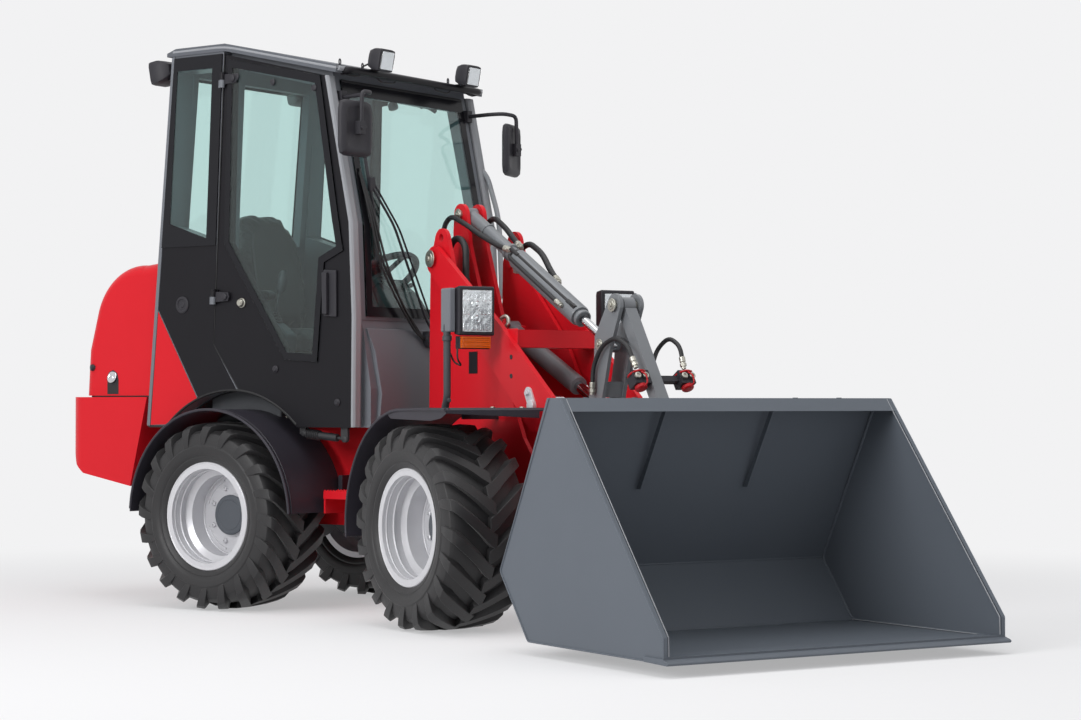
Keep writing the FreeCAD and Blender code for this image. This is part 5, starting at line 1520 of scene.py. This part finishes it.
@dataclass
class Hood:
    """The hood's lower seal, rear grille, side lamp, latch and the weight's tail lamps."""

    slats: int = 9
    pitch: float = 17

    def build(self) -> None:
        """Builds every fitting of the rear end."""
        seal = Stock()
        for sign in SIGNS:
            seal.tube([(-1186, sign * 438, 837), (-1528, sign * 438, 837), (-1572, sign * 396, 837),
                       (-1573, 0, 837)], 3.2, 40, 8)
        seal.piece("hood_seal", SEAL_AND_SHADE, "hood_body")
        grille = Stock()
        for number in range(self.slats):
            z = 872 + number * self.pitch
            x = -1575 + (z - 840) * 12 / 190
            grille.plate(Plane.SIDE, [(x + 2, z), (x - 6, z + 2), (x - 7, z + 6), (x + 2, z + 11)],
                         -250, 250)
        grille.plate(Plane.SIDE, [(-1571, 862), (-1576, 862), (-1566, 1030), (-1561, 1030)], -262,
                     262)
        grille.piece("hood_grille", PLASTIC, "hood_body", bevel=0.8)
        latch = Stock()
        latch.turned((-1567, 0, 1068), (-1, 0, 0.25), [(-4, 22), (2, 24), (5, 22), (5, 14),
                                                       (12, 12), (12, 1)], 28)
        latch.piece("hood_latch", PLASTIC, "hood_body", bevel=0.8)
        for side, sign in SIDES:
            lamp = Stock()
            lamp.turned((-1409, sign * 439.5, 913), (0, sign, 0),
                        [(-2, 30), (2, 30), (3, 27), (3, 25), (1, 24), (1, 1)], 40)
            lamp.turned((-1520, sign * 434, 956), (-0.55, sign, 0),
                        [(0, 13), (12, 14), (18, 11), (18, 1)], 24)
            lamp.piece("hood_lamp_ring_" + side, PLASTIC, "hood_body", bevel=0.8)
            dish = Stock()
            dish.turned((-1409, sign * 441, 915), (0, sign, 0.3),
                        [(0, 24), (6, 25), (8, 23), (8, 20), (5, 15), (6.5, 8), (8.5, 5), (8.5, 1)],
                        40)
            dish.piece("hood_lamp_dish_" + side, CHROME, "hood_body", bevel=0.5)
            # Black plate round the side lamp: painted shade inside the lamp's recess in the red
            # hood.
            slot = Stock()
            slot.plate(Plane.SIDE, [(-1440, 846), (-1376, 846), (-1376, 905), (-1384, 932),
                                    (-1408, 946), (-1432, 932), (-1440, 905)], sign * 439,
                       sign * 440.8)
            slot.piece("hood_lamp_recess_shade_" + side, SEAL_AND_SHADE, "hood_body", bevel=0.5)
            base = Stock()
            base.plate(Plane.FACE, [(sign * 236, 694), (sign * 352, 694), (sign * 352, 752),
                                    (sign * 236, 752)], -1652.5, -1638)
            base.piece("tail_lamp_base_" + side, PLASTIC, bevel=2)
            lens = Stock()
            for number in range(2):
                a = sign * (240 + number * 56)
                lens.plate(Plane.FACE, [(a, 698), (a + sign * 53, 698), (a + sign * 53, 748),
                                        (a, 748)], -1658.5 - number, -1650)
            lens.piece("tail_lamp_lens_" + side, RED_LENS, bevel=2)


# ---------------------------------------------------------------- tower, boom and linkage


@dataclass
class Tower:
    """The tower's and the boom's pins, bolts, bare plate, hoses and welds."""

    flag_ends: tuple[Flat, Flat] = ((904, 846), (930, 800))
    flag_radius: float = 22

    def cap(self, stock: Stock, at: Flat, across: float, radius: float, sign: float) -> None:
        """Adds a pin's end: a washer, a shoulder and a hexagon bolt.

        Args:
            stock: the stock it goes in.
            at: the pin's place along and up.
            across: how far out the pin ends.
            radius: the washer's radius.
            sign: 1 on the left and -1 on the right.
        """
        x, z = at
        stock.turned((x, sign * (across - 0.4), z), (0, sign, 0),
                     [(0, radius), (3.4, radius), (4.4, radius - 1), (4.4, radius * 0.66),
                      (7, radius * 0.62), (7, 1)], 36)
        stock.bolt((x, sign * (across + 6.4), z), (0, sign, 0), radius * 0.34, washer=False)

    def pins(self) -> None:
        """Builds the ends of the boom's, the hitch's and the lever's pins."""
        for name, at, across, radius, body in (
                ("boom_pin_ends", (205, 1361), 207.5, 33, "boom_body"),
                ("hitch_pin_ends", (1415, 285), 218.5, 32, "bucket_body"),
                ("lever_pin_ends", (1090, 740), 79, 26, "lever_pin_body"),
                ("link_pin_ends", (1230, 1153), 58, 24, "link_pin_body"),
                ("tilt_pin_ends", (155, 1540), 53.5, 22, "tilt_base_pin_body"),
                ("lever_middle_ends", (1138, 1016), 50, 21, "lever_body")):
            stock = Stock(Half.FRONT)
            for sign in SIGNS:
                self.cap(stock, at, across, radius, sign)
            stock.piece(name, ZINC, body, bevel=0.6)

    def boom_fittings(self) -> None:
        """Builds the flags that hold the lift pins, the boom's bolts and its weld seams."""
        flag = Stock(Half.FRONT)
        for sign in SIGNS:
            (top, low), size = self.flag_ends, self.flag_radius
            outline = []
            for centre, start in ((top, 29.5), (low, 209.5)):
                for step in range(11):
                    t = math.radians(start + 180 * step / 10)
                    outline.append((centre[0] + size * math.cos(t), centre[1] + size * math.sin(t)))
            flag.plate(Plane.SIDE, outline, sign * 195.7, sign * 204)
            flag.turned((low[0], sign * 203, low[1]), (0, sign, 0),
                        [(0, size), (8, size), (9, size - 2), (9, 1)], 36)
            flag.bolt((top[0], sign * 204, top[1]), (0, sign, 0), 11)
        flag.piece("lift_pin_flags", SILVER, "boom_body", slot="rod_chrome", bevel=1.5)
        bolts = Stock(Half.FRONT)
        for sign in SIGNS:
            for x, z in ((780, 977), (780, 908), (1150, 690)):
                bolts.turned((x, sign * 195.3, z), (0, sign, 0),
                             [(0, 9), (2, 9), (2.6, 7.5), (2.6, 4), (1.2, 3), (1.2, 0.5)], 20)
        bolts.piece("boom_plugs", CAST, "boom_body")
        weld = Stock(Half.FRONT)
        for x, z, size in ((705, 1012, 65), (1000, 590, 75)):
            for sign in SIGNS:
                y, deep = sign * 172.5, 80 if size < 70 else 75
                weld.tube([(x, y, z), (x + deep, y, z), (x + deep, y, z + size), (x, y, z + size),
                           (x, y, z + 2)], 4, 4, 8)
        weld.piece("boom_welds", RED, "boom_body")
        plates = Stock(Half.FRONT)
        plates.plate(Plane.SIDE, [(436, 920), (498, 920), (498, 1002), (436, 1002)], -172, -170.2)
        plates.piece("bare_plate", BLACK, slot="black_steel", bevel=0.4)
        nipples = Stock(Half.FRONT)
        for sign in SIGNS:
            for x, z in ((205, 1300), (300, 1060), (640, 470), (820, 470)):
                nipples.bolt((x, sign * 170.4, z), (0, sign, 0), 9)
        nipples.piece("tower_bolts", ZINC)

    def fitting(self, stock: Stock, at: Point, way: Point, size: float) -> None:
        """Adds a hose end: a crimped collar, a hexagon and its stub.

        Args:
            stock: the stock it goes in.
            at: where the hose enters it.
            way: the way it goes on from the hose.
            size: the hose's radius.
        """
        stock.turned(at, way, [(-22, size + 1.2), (-20, size + 3), (-4, size + 3), (-2, size + 1),
                               (2, size + 1)], 20)
        stock.turned(at, way, [(2, size + 4), (13, size + 4), (14, size + 2)], 6)
        stock.turned(at, way, [(13, size), (22, size), (23, size - 2)], 16)

    def hoses(self) -> None:
        """Builds the hoses between the tower, the barrel and the link, with their fittings."""
        runs = (
            ("tower_loop_hose", "tilt_barrel_body", 10,
             [(66, -74, 1420), (84, -76, 1502), (146, -80, 1534),
              (232, -72, 1500), (330, -52, 1446), (430, -34, 1402),
              (478, -24, 1388)]),
            ("barrel_loop_hose", "tilt_barrel_body", 11,
             [(160, 78, 1440), (176, 66, 1512), (236, 62, 1526),
              (330, 54, 1482), (420, 42, 1426), (462, 34, 1404)]),
            ("far_loop_hose", "tilt_barrel_body", 11.5,
             [(352, 92, 1330), (376, 92, 1398), (446, 90, 1418),
              (560, 76, 1372), (640, 60, 1306), (716, 42, 1262)]),
            ("near_coupler_hose", "link_body", 8,
             [(1116, -66, 862), (1122, -66, 940), (1176, -66, 1012),
              (1262, -66, 1040), (1338, -65, 1010), (1372, -62, 950)]),
            ("far_coupler_hose", "link_body", 8,
             [(1306, 68, 884), (1260, 88, 930), (1252, 118, 1000),
              (1304, 132, 1042), (1366, 136, 1010), (1384, 136, 950)]),
            ("lift_hose", "lift_barrel_body", 8,
             [(356, -146, 1092), (420, -150, 1070), (560, -148, 1004),
              (700, -140, 940), (748, -128, 912)]),
            ("frame_loop_hose", "front_body", 5,
             [(905, -120, 660), (930, -150, 640), (960, -160, 600),
              (930, -150, 556), (890, -130, 570)]))
        metal = {run[1]: Stock(Half.FRONT) for run in runs}
        coil = bead_section(7, 21, 12)
        metal["boom_body"] = Stock(Half.FRONT)
        metal["boom_body"].turned((672, -160, 1108), (0.25, -1, 0.2), coil, 36, closed=True)
        metal["boom_body"].rod((660, -172, 1000), (668, -164, 1086), 9, 16)
        metal["boom_body"].turned((666, -166, 1060), (0.1, 0.1, 1), [(0, 14), (16, 14), (18, 11)],
                                  6)
        for name, body, size, line in runs:
            Stock(Half.FRONT).tube(line, size, 60, 14).piece(name, HOSE, body)
            for end, before in ((line[-1], line[-2]), (line[0], line[1])):
                way = tuple(a - b for a, b in zip(end, before))
                self.fitting(metal[body], end, way, size)
        for body, stock in metal.items():
            stock.piece("hose_ends_on_" + body, ZINC, body, bevel=0.5)
        self.barrel()

    def barrel(self) -> None:
        """Builds the tilt barrel's collars, its jacket and the hose along its side."""
        clamps = Stock(Half.FRONT)
        way = (0.8826, 0, -0.4704)

        def on_axis(along: float) -> Point:
            """Returns the point of the barrel's axis at a distance from its pin."""
            return (155 + way[0] * along, 0, 1540 + way[2] * along)

        for along in (150, 372, 398):
            clamps.turned(on_axis(along), way, [(0, 27.2), (0, 30.5), (9, 30.5), (9, 27.2)], 36,
                          closed=True)
        for along, grow in ((330, 33), (893, 32)):
            clamps.turned(on_axis(along), way, [(0, 27), (2, grow), (16, grow), (18, 27), (9, 26)],
                          36, closed=True)
        clamps.piece("tilt_barrel_collars", LINK_GREY, "tilt_barrel_body", bevel=0.8)
        jacket = Stock(Half.FRONT)
        jacket.turned(on_axis(402), way, [(0, 27.2), (0, 36), (3, 39), (478, 39), (484, 36),
                                          (484, 27.2)], 48, closed=True)
        jacket.piece("tilt_barrel_jacket", LINK_GREY, "tilt_barrel_body")
        side = Stock(Half.FRONT)
        line = []
        for along, off in ((386, 31), (412, 45), (560, 46), (720, 46), (800, 46)):
            x, _, z = on_axis(along)
            line.append((x - way[2] * 8, -off, z + way[0] * 8))
        side.tube(line, 7.5, 40, 14).piece("barrel_side_hose", HOSE, "tilt_barrel_body")
        ends = Stock(Half.FRONT)
        self.fitting(ends, line[-1], way, 7.5)
        ends.piece("barrel_side_hose_end", ZINC, "tilt_barrel_body", bevel=0.5)

    def inner_rods(self) -> None:
        """Builds the length of each rod that stands inside its barrel, for when it runs out."""
        for name, body, half, radius, runs in (
                ("tilt_rod_inner", "tilt_rod_body", Half.FRONT, 15.7,
                 [((904.2, 0, 1140.6), (684.5, 0, 1257.8))]),
                ("lift_rods_inner", "lift_rod_body", Half.FRONT, 19.7,
                 [((721.5, y, 896), (352.7, y, 1065.7)) for y in (-100, 100)]),
                ("steering_rod_inner", "steering_rod_body", Half.REAR, 14.7,
                 [((-206, -151.2, 470), (-313, -150.6, 470))])):
            stock = Stock(half)
            for one, other in runs:
                stock.rod(one, other, radius, 32)
            stock.piece(name, CHROME, body)

    def build(self) -> None:
        """Builds the pins' ends, the boom's fittings and the hoses."""
        self.pins()
        self.inner_rods()
        self.boom_fittings()
        self.hoses()


@dataclass
class Couplers:
    """The quick couplers' red caps, their tethers and their sockets."""

    top: Flat = (1230, 1153)
    angle: float = -58.02

    def at(self, along: float, up: float, across: float) -> Point:
        """Returns a point from its place on the link.

        Args:
            along: how far down the link.
            up: how far ahead of it.
            across: its width.

        Returns:
            The point.
        """
        t = math.radians(self.angle)
        c, s = math.cos(t), math.sin(t)
        return (self.top[0] + along * c - up * s, across, self.top[1] + along * s + up * c)

    def build(self) -> None:
        """Builds each coupler's cap, tether and socket."""
        red, metal = Stock(Half.FRONT), Stock(Half.FRONT)
        t = math.radians(self.angle)
        ahead, along = (-math.sin(t), 0, math.cos(t)), (math.cos(t), 0, math.sin(t))
        for across in (-62, 134):
            for shift in (-16, 16):
                metal.turned(self.at(310, 23.5, across + shift), ahead,
                             [(0, 11), (3, 12), (10, 12), (12, 10), (12, 6), (8, 5), (8, 0.5)], 24)
            red.turned(self.at(336, 4, across), along, [(-2, 19), (2, 22), (12, 22), (16, 18),
                                                        (18, 6), (18, 0.5)], 28)
            red.turned(self.at(292, 4, across), along, bead_section(4, 30, 10), 40, closed=True)
            loop = [self.at(292, 30, across), self.at(318, 46, across + 8),
                    self.at(346, 38, across + 6), self.at(350, 20, across)]
            red.tube(loop, 3.2, 18, 8)
        red.piece("coupler_caps", RED_PLASTIC, "link_body", bevel=0.8)
        metal.piece("coupler_sockets", ZINC, "link_body", bevel=0.5)


# ---------------------------------------------------------------- bucket


@dataclass
class Bucket:
    """The bucket's cutting edge, weld seams, painted highlights along its edges, and rear ribs."""

    half: float = 673

    def build(self) -> None:
        """Builds the edge, the seams, the painted edge highlights and the ribs behind."""
        edge = Stock(Half.FRONT)
        edge.plate(Plane.SIDE, [(2322, 40), (2444, 36.5), (2449, 42), (2444, 47), (2412, 57),
                                (2322, 57)], -self.half - 6, self.half + 6)
        edge.piece("cutting_edge", SLATE, "bucket_body", bevel=1.5)
        weld = Stock(Half.FRONT)
        for sign in SIGNS:
            y = sign * 660
            weld.tube([(1783, y, 790), (1502, y, 262), (1668, y, 54), (2330, y, 53)], 4.5, 18, 8)
            weld.tube([(1790, sign * 674, 826), (1493, sign * 674, 262), (1664, sign * 674, 46),
                       (2340, sign * 674, 43)], 3, 10, 8)
            rim = sign * self.half
            weld.tube([(1858, rim, 824), (2419, rim, 118), (2419, rim, 50)], 3.4, 4, 8)
        weld.tube([(1500, -655, 263), (1500, 655, 263)], 4, 4, 8)
        weld.tube([(1667, -655, 53), (1667, 655, 53)], 4.5, 4, 8)
        weld.tube([(1792, -655, 786), (1792, 655, 786)], 3.5, 4, 8)
        weld.piece("bucket_welds", SLATE, "bucket_body")
        # Thin pale tubes along the side plates' front edges and the floor's edge: painted
        # highlights, where the light catches the bucket's edges.
        edge_highlights = Stock(Half.FRONT)
        for across in (-654.5, 654.5):
            edge_highlights.tube([(1860, across, 823), (2418, across, 119), (2420, across, 62)], 1.9, 4, 6)
        edge_highlights.tube([(2330, 655, 54.5), (1672, 655, 55.5)], 1.5, 4, 6)
        edge_highlights.piece("bucket_edge_highlights", TRIM_AND_HIGHLIGHT_GREY, "bucket_body", slot="slate_grey")
        ribs = Stock(Half.FRONT)
        for across in (-520, -330, 330, 520):
            ribs.plate(Plane.SIDE, [(1776, 829), (1760, 829), (1478, 268), (1490, 252)], across - 6,
                       across + 6)
        ribs.piece("bucket_rear_ribs", SLATE, "bucket_body", bevel=1)


@dataclass
class Chassis:
    """Bolts of the axles and of the steering pivot."""

    circle: float = 92
    bolts: int = 10

    def build(self) -> None:
        """Builds the bolts of both axles and the pivot."""
        rear, front = Stock(), Stock(Half.FRONT)
        for stock, x in ((rear, -AXLE), (front, AXLE)):
            for number in range(self.bolts):
                t = math.tau * number / self.bolts
                for sign in SIGNS:
                    stock.turned((x + self.circle * math.cos(t), sign * 70,
                                  HUB + self.circle * math.sin(t)), (0, sign, 0),
                                 [(-3, 8), (4, 8), (5, 6), (5, 1)], 6)
        rear.turned((0, 0, 600), (0, 0, 1), [(0, 46), (6, 46), (8, 43), (8, 12)], 36)
        rear.bolt((0, 0, 607), (0, 0, 1), 18).piece("rear_axle_bolts", ZINC)
        front.piece("front_axle_bolts", ZINC)


GROUPS: tuple[Callable, ...] = (Wheels, Fenders, Steps, Cab, RoofLamps, Mirrors, Headlamps, Seat,
                                Controls, Hood, Tower, Couplers, Bucket, Chassis)


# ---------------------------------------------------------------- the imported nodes


@dataclass
class Frame:
    """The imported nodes, each given the finish that the real part is made in."""

    finishes: dict[str, Finish] = field(default_factory=lambda: {
        "rear_chassis": DARK_RED, "rear_axle": CAST, "engine": CAST, "counterweight": RED,
        "tow_hitch": CHASSIS_BLACK, "engine_hood": RED, "cab_frame": CAB_GREY,
        "cab_floor": CHASSIS_BLACK, "cab_roof": ROOF_GREY, "cab_glass": GLASS,
        "door_left": BLACK, "door_right": BLACK, "door_glass_left": GLASS,
        "door_glass_right": GLASS, "seat_base": GREY_PLASTIC, "seat_cushion": SEAT,
        "seat_back": SEAT, "steering_column": GREY_PLASTIC, "steering_wheel": PLASTIC,
        "rear_fenders": FENDER, "entry_steps": RED, "mirrors": PLASTIC, "work_lights": PLASTIC,
        "front_frame": RED, "front_axle": CAST, "front_fenders": FENDER, "headlights": GREY_PLASTIC,
        "boom": RED, "tilt_lever": LINK_GREY, "tilt_link": LINK_GREY, "quick_hitch": LINK_GREY,
        "bucket": SLATE, "lift_barrels": LINK_GREY, "lift_rods": CHROME, "tilt_barrel": LINK_GREY,
        "tilt_rod": CHROME, "steering_barrel": SLATE, "steering_rod": CHROME,
        "tower_hose": HOSE, "tilt_hose": HOSE, "couplers": PLASTIC})

    def dress(self, nodes: dict[str, bpy.types.Object]) -> None:
        """Gives every node its finish.

        Args:
            nodes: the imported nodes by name.
        """
        for name, node in nodes.items():
            finish = self.finishes.get(name)
            if finish is None:
                finish = TYRE if "tyre" in name else SILVER if "rim" in name else ZINC
            for place in node.material_slots:
                place.link = "OBJECT"
                place.material = finish.material()
            if not node.material_slots:
                node.data.materials.append(None)
                node.material_slots[0].link = "OBJECT"
                node.material_slots[0].material = finish.material()
            LOG.info("node %s is %s", name, finish.name)


# ---------------------------------------------------------------- the studio


@dataclass
class Studio:
    """A pale floor that runs out into a pale surround, a soft box overhead and two side fills."""

    background: str = "#F2F2F3"
    camera_at: Point = (5.4260, -7.2260, 0.8157)
    azimuth: float = 35.1395
    elevation: float = -0.9683
    lens: float = 81.738
    ambient: float = 0.68

    def camera(self) -> None:
        """Sets the camera at the viewing angle."""
        data = bpy.data.cameras.new("camera")
        data.lens, data.sensor_width = self.lens, 36
        data.clip_end = 100
        made = bpy.data.objects.new("camera", data)
        bpy.context.scene.collection.objects.link(made)
        made.location = self.camera_at
        made.rotation_euler = (math.radians(90 - self.elevation), 0, math.radians(self.azimuth))
        bpy.context.scene.camera = made

    def seen(self, tree: bpy.types.NodeTree) -> bpy.types.NodeSocket:
        """Returns 1 for the rays that show the background, and 0 for those that light.

        Args:
            tree: the node tree it goes in.

        Returns:
            The socket with that value.
        """
        path = add(tree, "LightPath")
        first = add(tree, "Math", {"operation": "MAXIMUM"},
                    {0: path.outputs["Is Camera Ray"], 1: path.outputs["Is Glossy Ray"]})
        return add(tree, "Math", {"operation": "MAXIMUM"},
                   {0: first.outputs[0], 1: path.outputs["Is Transmission Ray"]}).outputs[0]

    def world(self) -> None:
        """Lights the scene evenly, a little more from above, and shows the pale background."""
        world = bpy.data.worlds.new("studio")
        bpy.context.scene.world = world
        world.use_nodes = True
        tree = world.node_tree
        tree.nodes.clear()
        up = add(tree, "SeparateXYZ", inputs={"Vector": add(tree, "TexCoord").outputs[
            "Generated"]}).outputs["Z"]
        glow = add(tree, "MapRange", inputs={"Value": up, "From Min": -0.2, "From Max": 0.9,
                                             "To Min": 0.55, "To Max": 1})
        light = add(tree, "Background", inputs={"Color": glow.outputs["Result"],
                                                "Strength": self.ambient})
        shown = add(tree, "Background", inputs={"Color": linear(self.background), "Strength": 1})
        both = add(tree, "MixShader", inputs={0: self.seen(tree), 1: light.outputs[0],
                                              2: shown.outputs[0]})
        add(tree, "OutputWorld", inputs={"Surface": both.outputs[0]})

    def floor(self) -> None:
        """Lays the floor: matt near the machine, run out into the background further off."""
        stock = bmesh.new()
        bmesh.ops.create_circle(stock, cap_ends=True, segments=96, radius=40)
        mesh = bpy.data.meshes.new("floor")
        stock.to_mesh(mesh)
        stock.free()
        floor = bpy.data.objects.new("floor", mesh)
        bpy.context.scene.collection.objects.link(floor)
        paint = bpy.data.materials.new("matt_studio_floor")
        paint.use_nodes = True
        tree = paint.node_tree
        tree.nodes.clear()
        where = add(tree, "TexCoord").outputs["Object"]
        away = add(tree, "VectorMath", {"operation": "LENGTH"}, {0: where}).outputs["Value"]
        speck = add(tree, "TexNoise", inputs={"Vector": where, "Scale": 30})
        tone = add(tree, "Mix", {"data_type": "RGBA"}, {"Factor": speck.outputs["Fac"],
                                                        "A": linear("#E6E6E8"),
                                                        "B": linear("#E4E4E6")})
        matt = add(tree, "BsdfDiffuse", inputs={"Color": tone.outputs["Result"]})
        shown = add(tree, "Emission", inputs={"Color": linear(self.background), "Strength": 1})
        fade = add(tree, "MapRange", {"interpolation_type": "SMOOTHSTEP"},
                   {"Value": away, "From Min": 2.2, "From Max": 5.5, "To Min": 0.45, "To Max": 1})
        seen = add(tree, "Math", {"operation": "MULTIPLY"},
                   {0: fade.outputs["Result"], 1: self.seen(tree)})
        both = add(tree, "MixShader", inputs={0: seen.outputs[0], 1: matt.outputs[0],
                                              2: shown.outputs[0]})
        add(tree, "OutputMaterial", inputs={"Surface": both.outputs[0]})
        mesh.materials.append(paint)
        floor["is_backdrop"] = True

    def lamp(self, name: str, at: Point, size: Flat, power: float) -> None:
        """Hangs a soft box that points at the machine's middle.

        Args:
            name: the lamp's name.
            at: where it hangs, in metres.
            size: its width and height.
            power: its power in watts.
        """
        data = bpy.data.lights.new(name, "AREA")
        data.shape, data.size, data.size_y = "RECTANGLE", *size
        data.energy = power
        made = bpy.data.objects.new(name, data)
        bpy.context.scene.collection.objects.link(made)
        made.location = at
        made.rotation_euler = (Vector((0.2, 0, 0.9)) - Vector(at)).to_track_quat(
            "-Z", "Y").to_euler()

    def build(self) -> None:
        """Sets the camera, the floor, the surround and the lamps."""
        self.camera()
        self.world()
        self.floor()
        self.lamp("overhead", (0.5, -1, 5.5), (5, 5), 140)
        self.lamp("key", (-1, -8, 3.6), (3.5, 3), 330)
        self.lamp("right_fill", (6.5, -1, 2.8), (2.5, 3.5), 18)
        bpy.context.scene.view_settings.view_transform = "Standard"


def corners() -> list[list[float]]:
    """Returns the object's box as two plain lists."""
    return [list(corner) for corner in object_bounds()]


def main() -> None:
    """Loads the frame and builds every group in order."""
    logging.basicConfig(level=logging.INFO, format="%(message)s")
    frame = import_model()
    Studio().build()
    Frame().dress(frame["nodes"])
    for group in GROUPS:
        group().build()


if __name__ == "__main__":
    main()
